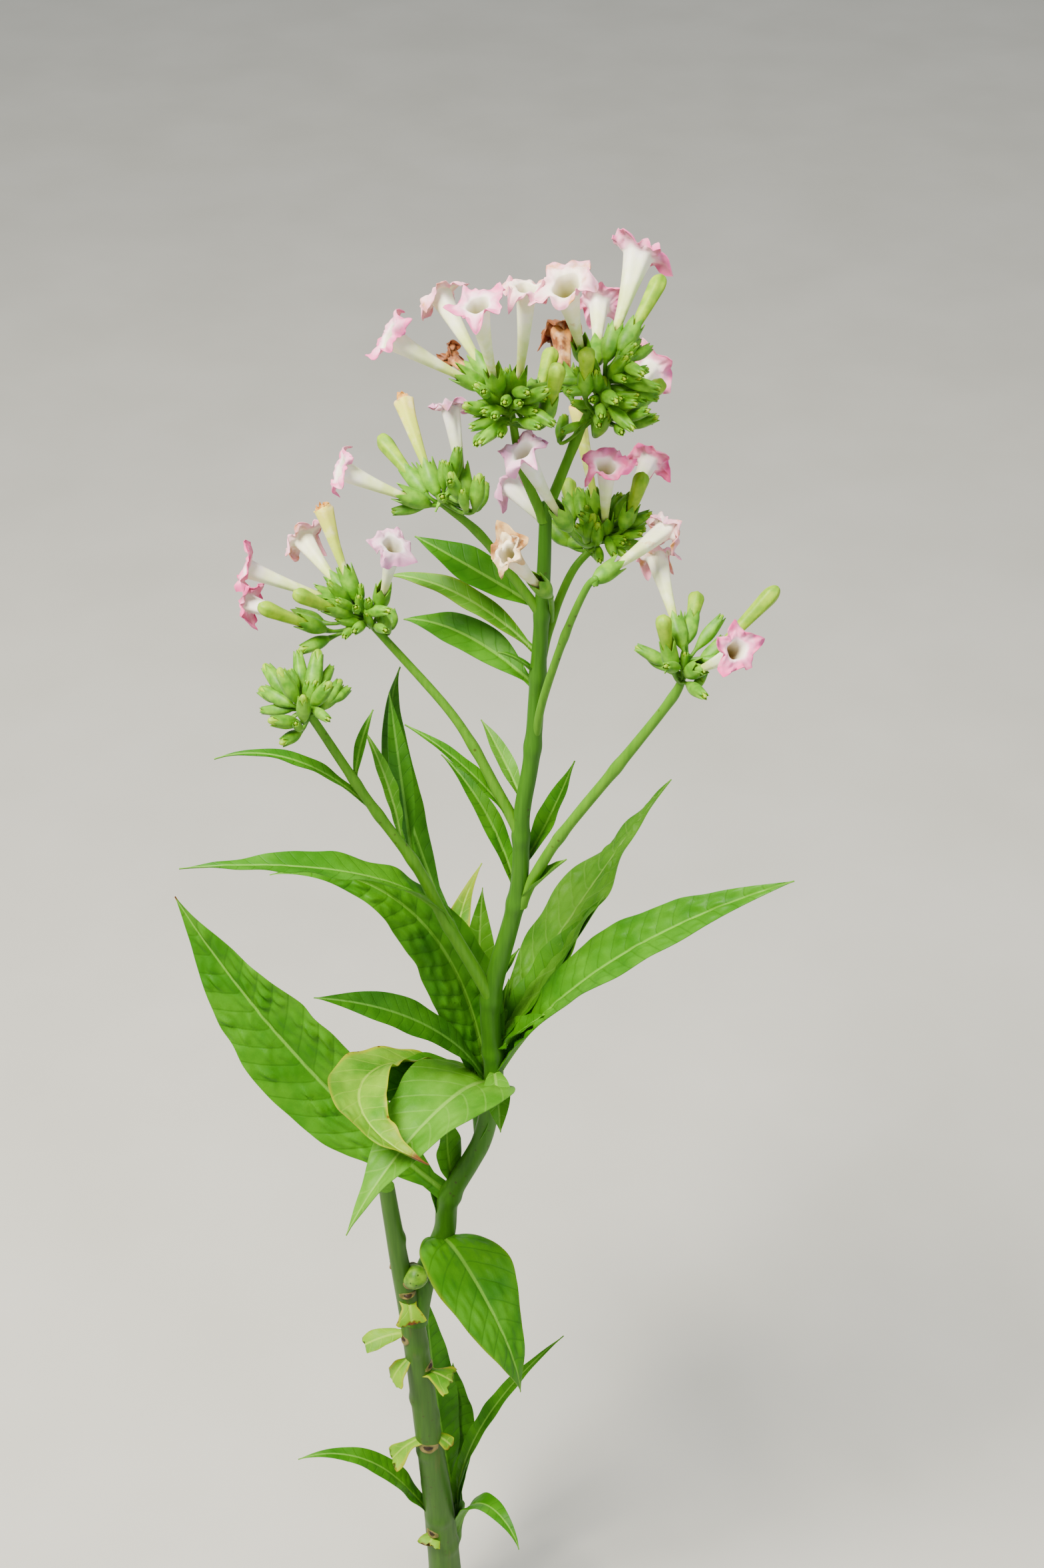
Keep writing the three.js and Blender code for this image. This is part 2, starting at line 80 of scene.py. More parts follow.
def feed(node, inputs):
    """Sets a node's sockets, each to a value or by a link from another node's output."""
    for socket, value in dict(inputs).items():
        if isinstance(value, bpy.types.NodeSocket):
            node.id_data.links.new(value, node.inputs[socket])
        else:
            node.inputs[socket].default_value = value


def add(tree, kind, inputs=(), output=0, stops=(), **settings):
    """Adds one shader node, feeds its sockets and returns one of its outputs. Stops are a colour ramp's
    (place, hex colour) pairs. Sockets that share a name go by number: a Math node's are 0, 1 and 2,
    and a Mix node's are 0 for the share, 6 and 7 for the colours, and 2 for the output."""
    made = tree.nodes.new("ShaderNode" + kind)
    for setting, value in settings.items():
        setattr(made, setting, value)
    feed(made, inputs)
    for number, (place, colour) in enumerate(stops):
        if number < 2:
            stop = made.color_ramp.elements[number]
            stop.position = place
        else:
            stop = made.color_ramp.elements.new(place)
        stop.color = linear(colour)
    return made.outputs[output]


def new_skin(name, roughness, **sockets):
    """A material with one Principled shader whose even values are set on its own sockets. It comes
    with its node tree, its shader and the place on the object that its patterns read."""
    skin = bpy.data.materials.new(name)
    skin.use_nodes = True
    tree = skin.node_tree
    shader = tree.nodes["Principled BSDF"]
    feed(shader, {"Roughness": roughness})
    feed(shader, {socket.replace("_", " "): value for socket, value in sockets.items()})
    return skin, tree, shader, add(tree, "TexCoord", output="Object")


# Matt card: uncoated pulp board, evenly pale, with faint clouds about 17 cm wide from its fibre.
card, tree, shader, place = new_skin("matt_card", 0.9)
fibre = add(tree, "TexNoise", {"Vector": place, "Scale": 6, "Detail": 4})
tone = add(tree, "ValToRGB", {"Fac": fibre}, stops=((0.3, "#C4C4BC"), (0.7, "#CBCBC4")))
feed(shader, {"Base Color": tone})

half = CARD_SIZE / 2
corners = [(-half, -half, 0), (half, -half, 0), (half, half, 0), (-half, half, 0)]
card_mesh = bpy.data.meshes.new("floor")
card_mesh.from_pydata(corners, [], [(0, 1, 2, 3)])
floor = bpy.data.objects.new("floor", card_mesh)
bpy.context.scene.collection.objects.link(floor)
floor.data.materials.append(card)

for name, lamp in LAMPS.items():
    light = bpy.data.lights.new(name, "AREA")
    light.size = lamp["size"]
    light.energy = lamp["power"]
    light.color = linear(lamp["colour"])[:3]
    holder = bpy.data.objects.new(name, light)
    holder.location = lamp["at"]
    bpy.context.scene.collection.objects.link(holder)
    right, away, up = LIT_POINT - np.array(lamp["at"])
    tilt = math.atan2(math.hypot(right, away), -up)
    holder.rotation_euler = (tilt, 0, math.atan2(away, right) - math.pi / 2)

sky = bpy.data.worlds.new("studio_air")
sky.use_nodes = True
air = sky.node_tree.nodes["Background"]
feed(air, {"Color": linear(AIR_COLOUR), "Strength": AIR_STRENGTH})
bpy.context.scene.world = sky


# Main stem: the old woody stem, topped above the shoot that flowers. It flares from 23 to 31 mm
# at the ground, and has a smooth green skin, swollen below each leaf scar, with streaks of cork.
MAIN_STEM = {
    "points": [(0, 0, 0), (-1, 0, 30), (-4, -1, 124), (-9, -5, 222), (-15, -9, 334), (-21, -11, 396),
               (-26, -14, 466)],
    "diameters": (31, 23.5, 20.5, 17, 15, 11.5, 9.5),
}
STEM_TOP = 466
STEM_GRID = 1.5
STEM_SIDES = 64
# Swellings below the scars, each (height of the scar, azimuth).
KNOTS = ((14, 200), (40, 62), (92, 340), (128, 268), (163, 120), (205, 215), (240, 30), (262, 190),
         (318, 300), (345, 95), (420, 20))
# Soft ribs, each (depth, number round the stem, length).
STEM_RIBS = ((0.5, 9, 70), (0.25, 22, 25))
ROOT_RIBS = 5
ROOT_RIB_DEPTH = 0.9
ROOT_RIB_HEIGHT = 14
CREASE = 70


def way(azimuth, elevation):
    """Unit vectors at an azimuth (0 to the right, 90 away from the view) and an elevation, in
    degrees."""
    azimuth, elevation = np.broadcast_arrays(np.radians(azimuth), np.radians(elevation))
    level = np.cos(elevation)
    return np.stack([level * np.cos(azimuth), level * np.sin(azimuth), np.sin(elevation)], -1)


def unit(vectors):
    """Vectors divided by their own lengths."""
    return vectors / np.linalg.norm(vectors, axis=-1, keepdims=True)


def stem_line(points, diameters, grid):
    """Catmull-Rom line through the points, with the radius blended straight between them. Each
    span is 0.5 * (2b + (c - a)t + (2a - 5b + 4c - d)t^2 + (3b - a - 3c + d)t^3)."""
    p = np.array(points, float)
    p = np.vstack([2 * p[0] - p[1], p, 2 * p[-1] - p[-2]])
    spans = len(points) - 1
    count = int(np.linalg.norm(np.diff(p[1:-1], axis=0), axis=1).sum() / grid) + 2
    place = np.linspace(0, spans, count)
    span = np.minimum(place.astype(int), spans - 1)
    t = (place - span)[:, None]
    a, b, c, d = (p[span + k] for k in range(4))
    line = 0.5 * (2 * b + (c - a) * t + (2 * a - 5 * b + 4 * c - d) * t ** 2
                  + (3 * b - a - 3 * c + d) * t ** 3)
    return line, np.interp(place, range(spans + 1), diameters) / 2


def run_along(line):
    """Distance from the line's foot to each of its points."""
    return np.concatenate([[0], np.cumsum(np.linalg.norm(np.diff(line, axis=0), axis=1))])


def once_round(count):
    """A row of angles at even steps once round a ring."""
    return np.linspace(0, 2 * np.pi, count, endpoint=False)[None]


def rings_about(line, radius, around):
    """Rings square to a line: the line plus radius * (cos * side + sin * front), where side is
    square to the line and to the axis that the line follows least."""
    ahead = unit(np.gradient(line, axis=0))
    least = np.eye(3)[np.argmin(np.abs(ahead.mean(0)))]
    side = unit(np.cross(least, ahead))
    front = np.cross(ahead, side)
    turn = once_round(around).T
    radius = np.broadcast_to(np.reshape(radius, (len(line), -1)), (len(line), around))[..., None]
    return line[:, None] + radius * (np.cos(turn) * side[:, None] + np.sin(turn) * front[:, None])


def soft_noise(dice, x, y, around=64):
    """Smooth noise from -1 to 1: dice thrown on a square lattice, blended by 3t^2 - 2t^3 between
    its points. The lattice repeats after a number of steps around along x."""
    lattice = dice.uniform(-1, 1, (around, 64))
    x, y = np.broadcast_arrays(x, y)
    i, j = np.floor(x).astype(int), np.floor(y).astype(int)
    u, v = x - i, y - j
    u, v = u * u * (3 - 2 * u), v * v * (3 - 2 * v)
    low = lattice[i % around, j % 64] * (1 - u) + lattice[(i + 1) % around, j % 64] * u
    high = lattice[i % around, (j + 1) % 64] * (1 - u) + lattice[(i + 1) % around, (j + 1) % 64] * u
    return low * (1 - v) + high * v


def ribbed(dice, turn, run, ribs):
    """Ribs along a stem: the sum of a soft noise for each (depth, number round the stem, length)."""
    return sum(depth * soft_noise(dice, turn / (2 * np.pi) * number, run / length, around=number)
               for depth, number, length in ribs)


def shell(rings, slot=0, **marks):
    """A closed skin over rings of points: quads between rings, a cap on each end, faces outward
    by the sign of the enclosed volume. Marks are values kept at each point for the material."""
    count, around = rings.shape[:2]
    points = rings.reshape(-1, 3)
    at = np.arange(count * around).reshape(count, around)
    low, high = at[:-1], at[1:]
    quads = np.stack([low, np.roll(low, -1, 1), np.roll(high, -1, 1), high], 2).reshape(-1, 4)
    a, b, c, d = (points[quads[:, k]] - points.mean(0) for k in range(4))
    volume = np.einsum("ij,ij->", a, np.cross(b, c) + np.cross(c, d))
    faces = [*quads.tolist(), at[0][::-1].tolist(), at[-1].tolist()]
    if volume < 0:
        faces = [face[::-1] for face in faces]
    kept = {name: np.broadcast_to(value, rings.shape[:2]).ravel() for name, value in marks.items()}
    return {"points": points, "faces": faces, "slot": slot, "marks": kept}


def piece(name, shells, skins, stands_for=()):
    """Joins shells into one smooth mesh object that rides on the plant's root."""
    points = np.concatenate([part["points"] for part in shells])
    faces = []
    slots = []
    start = 0
    for part in shells:
        faces += [[index + start for index in face] for face in part["faces"]]
        slots += [part["slot"]] * len(part["faces"])
        start += len(part["points"])
    mesh = bpy.data.meshes.new(name)
    mesh.from_pydata((points * MM).tolist(), [], faces)
    mesh.polygons.foreach_set("material_index", slots)
    mesh.shade_smooth()
    mesh.set_sharp_from_angle(angle=math.radians(CREASE))
    for mark in shells[0]["marks"]:
        values = np.concatenate([part["marks"][mark] for part in shells]).astype(np.float32)
        mesh.attributes.new(mark, "FLOAT", "POINT").data.foreach_set("value", values)
    made = bpy.data.objects.new(name, mesh)
    bpy.context.scene.collection.objects.link(made)
    for skin in skins:
        made.data.materials.append(skin)
    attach(made, "root")
    if stands_for:
        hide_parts(*stands_for)


def stem_skin(name, fresh, pale, cork, cork_share, down):
    """Stem skin: fibres 2 mm wide and 33 mm long, pale and fresh by turns, cork in streaks 9 mm wide
    and 100 mm long where their noise passes cork_share, dark pores about 5 mm apart in patches of
    45 mm, and a light bump from the fibres. The pores are drawn coarser than life, so they show."""
    skin, tree, shader, place = new_skin(name, 0.55, Specular_IOR_Level=0.25, Sheen_Weight=down,
                                         Sheen_Roughness=0.4)
    fibres = add(tree, "Mapping", {"Vector": place, "Scale": (520, 520, 30)})
    fibre = add(tree, "TexNoise", {"Vector": fibres, "Scale": 1, "Detail": 3})
    colour = add(tree, "ValToRGB", {"Fac": fibre}, stops=((0.2, fresh), (0.8, pale)))
    streaks = add(tree, "Mapping", {"Vector": place, "Scale": (110, 110, 10)})
    streak = add(tree, "TexNoise", {"Vector": streaks, "Scale": 1, "Detail": 4, "Roughness": 0.6})
    corky = add(tree, "MapRange", {"Value": streak, "From Min": cork_share,
                                   "From Max": cork_share + 0.12})
    pores = add(tree, "TexVoronoi", {"Vector": place, "Scale": 190})
    pore = add(tree, "MapRange", {"Value": pores, "From Min": 0.1, "From Max": 0.2,
                                  "To Min": 1, "To Max": 0})
    patches = add(tree, "TexNoise", {"Vector": place, "Scale": 22})
    patch = add(tree, "MapRange", {"Value": patches, "From Min": 0.5, "From Max": 0.58,
                                   "To Min": 0, "To Max": 0.7})
    spot = add(tree, "Math", {0: pore, 1: patch}, operation="MULTIPLY")
    for share, tint in ((corky, cork), (spot, "#3A2E12")):
        colour = add(tree, "Mix", {0: share, 6: colour, 7: linear(tint)}, output=2, data_type="RGBA")
    bump = add(tree, "Bump", {"Height": fibre, "Strength": 0.25, "Distance": 0.0006})
    feed(shader, {"Base Color": colour, "Normal": bump})
    return skin


# Old stem skin: a thin waxy rind over wood, dull green where it still lives and olive-brown in
# streaks of cork.
old_rind = stem_skin("old_stem_rind", "#265002", "#386608", "#4C561A", 0.62, 0.02)

dice = np.random.default_rng(11)
line, radius = stem_line(**MAIN_STEM, grid=STEM_GRID)
height = line[:, 2:3]
turn = once_round(STEM_SIDES)
knots = 0
for scar, facing in KNOTS:
    below = np.exp(-((height - scar + 3) / 5) ** 2)
    knots = knots + below * np.clip(np.cos(turn - math.radians(facing)), 0, 1) ** 1.5
root_ribs = ROOT_RIB_DEPTH * np.cos(ROOT_RIBS * turn + 0.7) * np.exp(-height / ROOT_RIB_HEIGHT)
ribs = 0.6 * ribbed(dice, turn, height, STEM_RIBS) * (1 - 0.6 * height / STEM_TOP)
rings = rings_about(line, radius[:, None] + ribs + knots + root_ribs, STEM_SIDES)
rings[0, :, 2] = 0
rings[:, :, 2] = np.maximum(rings[:, :, 2], 0)
piece("main_stem_rind", [shell(rings)], [old_rind], ["main_stem"])


# Flowering stem and boughs: fresh green shoots from 15 down to 3 mm thick, round, covered with
# short sticky down, and thickened at each node, where a leaf or a bough leaves them.
LIMBS = {
    "flowering_stem": {
        "points": [(-14, -10, 340), (-7, -2, 372), (5, 9, 399), (9, 11, 429), (28, 12, 475), (34, 11, 512),
                   (36, 10, 540), (35, 7, 594), (47, 3, 658), (51, 2, 690), (52, 2, 728), (57, 3, 766),
                   (60, 4, 820), (62, 4, 864), (63, 4, 910)],
        "diameters": (15, 14.5, 13.5, 12.5, 11.5, 11, 11, 11, 9.5, 9, 8.5, 8.2, 7.8, 7, 5.6),
        "nodes": (430, 508, 524, 552, 595, 668, 714, 770, 812, 848),
    },
    "bough_left": {
        "points": [(36, 6, 595), (12, -2, 659), (-2, -7, 701), (-24, -12, 747), (-45, -19, 797),
                   (-50, -21, 809)],
        "diameters": (7.5, 6.6, 5.8, 5, 4.2, 3.8),
        "nodes": (655, 706, 738, 761),
    },
    "bough_upper_left": {
        "points": [(51, 2, 716), (39, 5, 742), (28, 9, 765), (14, 14, 787), (-14, 21, 821),
                   (-21, 23, 829)],
        "diameters": (6.2, 5.6, 5, 4.6, 4, 3.6),
        "nodes": (765,),
    },
    "bough_mid_left": {
        "points": [(61, 4, 848), (46, 2, 873), (32, -3, 897), (15, -9, 917)],
        "diameters": (5, 4.4, 4, 3.4),
        "nodes": (897,),
    },
    "bough_right": {
        "points": [(51, 2, 668), (58, -1, 688), (71, -8, 721), (98, -18, 773), (123, -27, 822),
                   (127, -29, 838)],
        "diameters": (6.8, 6, 5.4, 5.4, 4.4, 3.8),
        "nodes": (721, 773, 822),
    },
    "bough_mid_right": {
        "points": [(60, 4, 812), (66, 9, 840), (76, 18, 863), (88, 24, 875)],
        "diameters": (4.6, 4, 3.8, 3.4),
        "nodes": (840,),
    },
    "bough_light": {
        "points": [(58, 4, 770), (62, -4, 803), (72, -16, 849), (81, -24, 880), (86, -26, 888)],
        "diameters": (4.6, 4, 3.8, 3.4, 3),
        "nodes": (849,),
    },
    "withered_stalk": {
        "points": [(66, 9, 840), (66, 0, 855), (65, -12, 870)],
        "diameters": (2.6, 2.4, 2.4),
        "nodes": (),
    },
    "fork_left": {
        "points": [(62, 4, 900), (52, -3, 931), (47, -7, 962)],
        "diameters": (5, 4.2, 3.4),
        "nodes": (931,),
    },
    "fork_right": {
        "points": [(62, 4, 900), (76, 10, 937), (83, 12, 954)],
        "diameters": (5, 4.2, 3.4),
        "nodes": (937,),
    },
    "sucker_stem": {
        "points": [(-2, 0, 56), (5, 7, 84), (10, 12, 118)],
        "diameters": (11, 9, 7),
        "nodes": (84, 104),
    },
}
LIMB_GRID = 1.3
# Ribs as shares of the radius, each (depth, number round the stem, length).
LIMB_RIBS = ((0.035, 7, 45), (0.02, 16, 12))
NODE_SWELL = 0.16

# Young stem rind: tender green epidermis with fine ribs and a pale nap of sticky hairs. That of the
# boughs is thinner and lighter, so it looks yellower.
young_rind = stem_skin("downy_young_rind", "#2C5E04", "#3E760C", "#5A8222", 0.68, 0.03)
bough_rind = stem_skin("downy_bough_rind", "#407A06", "#589010", "#6E9226", 0.68, 0.03)


def dice_for(name):
    """Dice seeded by the letters of a name."""
    return np.random.default_rng(list(name.encode()))


for name, limb in LIMBS.items():
    thick = name == "flowering_stem"
    sides = 40 if thick else 22
    line, radius = stem_line(limb["points"], limb["diameters"], grid=LIMB_GRID)
    height = line[:, 2:3]
    run = run_along(line)[:, None]
    knots = 0 * height
    for node_height in limb["nodes"]:
        knots = knots + NODE_SWELL * np.exp(-((height - node_height) / 5) ** 2)
    ribs = ribbed(dice_for(name), once_round(sides), run, LIMB_RIBS)
    foot_flare = (0.1 if thick else 0.3) * np.exp(-run / (1.5 * radius[0]))
    rounding = np.sqrt(1 - 0.98 * np.clip(1 - (run[-1] - run) / radius[-1], 0, 1) ** 2)
    relief = radius[:, None] * (1 + ribs + knots + foot_flare) * rounding
    skin = young_rind if name in ("flowering_stem", "sucker_stem") else bough_rind
    piece(name + "_rind", [shell(rings_about(line, relief, sides))], [skin], [name])


# Leaves: lance-shaped blades on a winged foot, up to 250 mm long. The midrib and side veins are
# sunk in the face and stand out below, and the tender skin puckers and ruffles between them.
BLADE_GRID = 1.35
BLADE_THICKNESS = 0.45
TIP_HALF_WIDTH = 0.35
# Sizes are in mm and angles in degrees. A blade leaves its stem at a height and azimuth and turns
# sideways by turn. It climbs at rise by its foot and at droop by its tip, half of that change done
# at the share bend of its length. It is widest at the share widest, and neck wide at its foot.
# Fold lifts its halves, roll and twist tilt it about its midrib, and ruffle, wave and blister are
# the height of its waves, their length and the height of its blisters. Fade and scorch are the
# shares of it that are yellow and brown.
WHORL_LEAVES = {
    "leaf_left_blistered": dict(
        height=512, length=227, azimuth=144, turn=55, rise=82, droop=-3, bend=0.72, width=40, widest=0.4,
        neck=12, fold=19, roll=-64, twist=14, tone="bright", ruffle=3.5, wave=38, blister=3.4, fade=0.12),
    "leaf_left_strap": dict(
        height=516, length=155, azimuth=206, turn=-6, rise=77, droop=22, bend=0.47, width=20, widest=0.6,
        neck=8, fold=12, roll=-30, twist=-10, tone="deep", ruffle=1.6, wave=34, blister=0.6),
    "leaf_back_small": dict(
        height=508, length=76, azimuth=124, rise=60, droop=100, width=10, neck=5, fold=20, tone="bright",
        ruffle=0.8, wave=24, blister=0.4),
    "leaf_back_yellow": dict(
        height=520, length=141, azimuth=131, turn=-75, rise=33, droop=31, width=20, neck=7, fold=20,
        tone="yellowing", ruffle=1.5, wave=30, blister=0.6, fade=0.8),
    "leaf_back_upright": dict(
        height=534, length=107, azimuth=112, turn=-36, rise=45, droop=70, width=20, widest=0.52, neck=7,
        fold=18, roll=8, tone="pale", ruffle=1.5, wave=26, blister=0.6),
    "leaf_low_left": dict(
        height=430, length=248, azimuth=169, turn=-20, rise=41, droop=56, width=56, widest=0.49, neck=12,
        fold=10, roll=-53, twist=-20, tone="bright", ruffle=2.4, wave=60, blister=3.7, fade=0.1,
        scorch=0.05),
    "leaf_yellow_edged": dict(
        height=506, length=182, azimuth=143, turn=205, rise=37, droop=-18, bend=0.65, width=36, widest=0.55,
        neck=10, fold=24, roll=44, twist=-67, tone="yellowing", ruffle=2.6, wave=24, blister=1.3, fade=0.65,
        scorch=0.04),
    "leaf_front_drooping": dict(
        height=524, length=145, azimuth=238, turn=-12, rise=65, droop=-49, bend=0.33, width=58, widest=0.3,
        neck=9, fold=15, roll=-3, twist=27, tone="pale", ruffle=2.0, wave=50, blister=1.2),
    "leaf_small_hanging": dict(
        height=536, length=46, azimuth=276, rise=40, droop=-55, bend=0.45, width=15, neck=5, fold=8,
        tone="pale", ruffle=0.8, wave=20, blister=0.5),
    "leaf_small_curly": dict(
        height=548, length=56, azimuth=333, rise=60, droop=50, width=16, widest=0.55, neck=5, fold=22,
        roll=10, tone="bright", ruffle=2.6, wave=14, blister=0.6),
    "leaf_right_big": dict(
        height=528, length=242, azimuth=338, turn=18, rise=69, droop=25, bend=0.53, width=36, neck=10,
        fold=20, roll=8, twist=16, tone="bright", ruffle=1.6, wave=55, blister=2.2),
    "leaf_right_folded": dict(
        height=552, length=110, azimuth=26, turn=7, rise=50, droop=50, width=26, widest=0.45, neck=8,
        fold=28, roll=-8, twist=-10, tone="bright", ruffle=1.6, wave=30, blister=0.8),
    "leaf_right_back": dict(
        height=556, length=182, azimuth=45, turn=2, rise=47, droop=25, bend=0.52, width=50, widest=0.46,
        neck=10, fold=6, roll=-15, twist=-30, tone="pale", ruffle=3.2, wave=44, blister=3.2),
}


def blade(stem, dice, height, length, azimuth, rise, droop, width, neck, fold, ruffle, wave, blister,
          turn=0, bend=0.5, widest=0.5, roll=0, twist=0, fade=0.0, scorch=0.0, torn=1.0):
    """A leaf as rings that go over its face and back under it. The midrib is the sum of short steps
    whose climb goes from rise to droop as place ** bending and whose heading turns evenly. Across
    it lie the lift of the fold, the wave of the margin (ruffle * across^2.2 * sine), the blisters
    between the side veins (sine of the distance from a vein) and fine puckers. The underside is
    lowered by a bell-shaped midrib that thins towards the tip. A torn blade stops at that share
    of its length, in a jagged edge."""
    rows = int(length * torn / BLADE_GRID) + 2
    columns = 2 * max(4, int(width / 2 / BLADE_GRID)) + 1
    place = np.linspace(0, torn, rows)
    bending = math.log(0.5) / math.log(bend)

    def ahead_at(s):
        return way(azimuth + turn * s, rise + (droop - rise) * s ** bending)

    steps = ahead_at((place[:-1] + place[1:]) / 2) * length * torn / (rows - 1)
    line, _ = stem_line(stem["points"], stem["diameters"], grid=1.0)
    foot = np.array([np.interp(height, line[:, 2], line[:, axis]) for axis in range(3)])
    middle = foot + np.vstack([np.zeros(3), np.cumsum(steps, axis=0)])
    ahead = ahead_at(place)
    across = way(azimuth + turn * place + 90, 0)
    rolled = np.radians(roll + twist * place)[:, None]
    left = across * np.cos(rolled) + np.cross(ahead, across) * np.sin(rolled)
    top = np.cross(ahead, left)

    # The outline: half the width by place (s) as a sine hump over a tapering neck, and across it
    # columns that stand closer towards the margins (t).
    s = place[:, None]
    even = np.linspace(-1, 1, columns)[None]
    t = np.sign(even) * (1 - (1 - np.abs(even)) ** 1.15)
    a = np.abs(t)
    hump = np.sin(np.pi * s ** (math.log(0.5) / math.log(widest)))
    half = np.maximum(width / 2 * np.abs(hump) ** 1.15, neck / 2 * (1 - s) ** 1.5)
    half = np.maximum(half, TIP_HALF_WIDTH)
    ragged = soft_noise(dice, s * length / 13, np.sign(t) * 5 + 10.3)
    half = half * (1 + 0.05 * ragged * a ** 3)
    off = t * half

    # The veins: each side vein runs out and forward from the midrib, and between is 1 midway
    # from one to the next.
    vein_gap = 5 + 0.16 * width
    vein = (s * length - 0.65 * np.abs(off) - 0.011 * off ** 2) / vein_gap + 0.25 * np.tanh(off / 2)
    between = np.sin(np.pi * np.abs(vein - np.round(vein)))
    inside = np.clip(5 * a * (1 - a), 0, 1) * np.clip(4 * half / width, 0, 1)

    # The lift: fold, ruffled margin, and blisters broken in two across by a quilt.
    swell = 0.6 + 0.5 * soft_noise(dice, s * length / 13, off / 10 + 20)
    pucker = 0.28 * soft_noise(dice, s * length / 4.5, off / 4.5 + 30)
    side = np.where(t < 0, 1.9, 0)
    beat = 2 * np.pi * s * length / wave + side + 1.6 * soft_noise(dice, s * length / 45, side + 3)
    lift = half * math.sin(math.radians(fold)) * a ** 1.2
    uneven = soft_noise(dice, s * length / wave * 2, side + 9)
    lift = lift + ruffle * np.abs(hump) ** 0.7 * a ** 2.2 * (0.45 * np.sin(beat) + 0.75 * uneven)
    astray = 0.3 * soft_noise(dice, s * length / 8, off / 8 + 45)
    quilt = 0.5 + 0.5 * np.cos(2 * np.pi * (np.abs(off) / 6.5 + 0.37 * np.floor(vein) + astray))
    lift = lift + (blister * between ** 0.8 * quilt * swell + pucker * min(blister, 1)) * inside

    # The two walls, with the midrib as a channel above and a ridge below.
    stalk = (0.8 + 0.05 * width) * (1 - s) ** 0.9 + 0.3
    channel = 0.35 * stalk * np.exp(-(off / (0.45 * stalk)) ** 2)
    ridge = 0.8 * stalk * np.exp(-(off / (0.45 * stalk + 0.3)) ** 2) + 0.18 * (1 - between) ** 3 * inside
    flat = middle[:, None] + left[:, None] * (off * math.cos(math.radians(fold)))[..., None]
    if torn < 1:
        jags = soft_noise(dice, off / 1.6 + 50, 0 * s + 5) + 0.8 * soft_noise(dice, off / 5 + 50, 0 * s + 9)
        flat = flat + ahead[:, None] * (1.5 * (s / torn) ** 5 * jags)[..., None]
    face = flat + top[:, None] * (lift - channel + BLADE_THICKNESS / 2)[..., None]
    back = flat + top[:, None] * (lift - ridge - BLADE_THICKNESS / 2)[..., None]
    rings = np.concatenate([face, back[:, ::-1]], axis=1)

    def both(values):
        values = np.broadcast_to(values, (rows, columns))
        return np.concatenate([values, values[:, ::-1]], axis=1)

    # The marks: yellow along the margin and at the tip, brown at the very end.
    patchy = soft_noise(dice, s * length / 17, off / 8 + 40)
    edge = np.clip((a - 1 + fade * (0.2 + 0.12 * patchy)) / 0.1, 0, 1) * min(1, 1.6 * fade)
    tip = np.clip((s - 1 + fade * (0.35 + 0.1 * patchy)) / 0.25, 0, 1) * fade
    burnt = np.clip((s - torn + scorch * (0.7 + 1.5 * patchy)) / 0.02, 0, 1) if scorch else 0 * a * s
    under = np.concatenate([np.zeros((rows, columns)), np.ones((rows, columns))], axis=1)
    return shell(rings, vein=both(vein), midrib=both(off / (0.35 * stalk + 0.35)), underside=under,
                 yellowing=both(np.clip(edge + tip, 0, 1)), scorched=both(burnt))


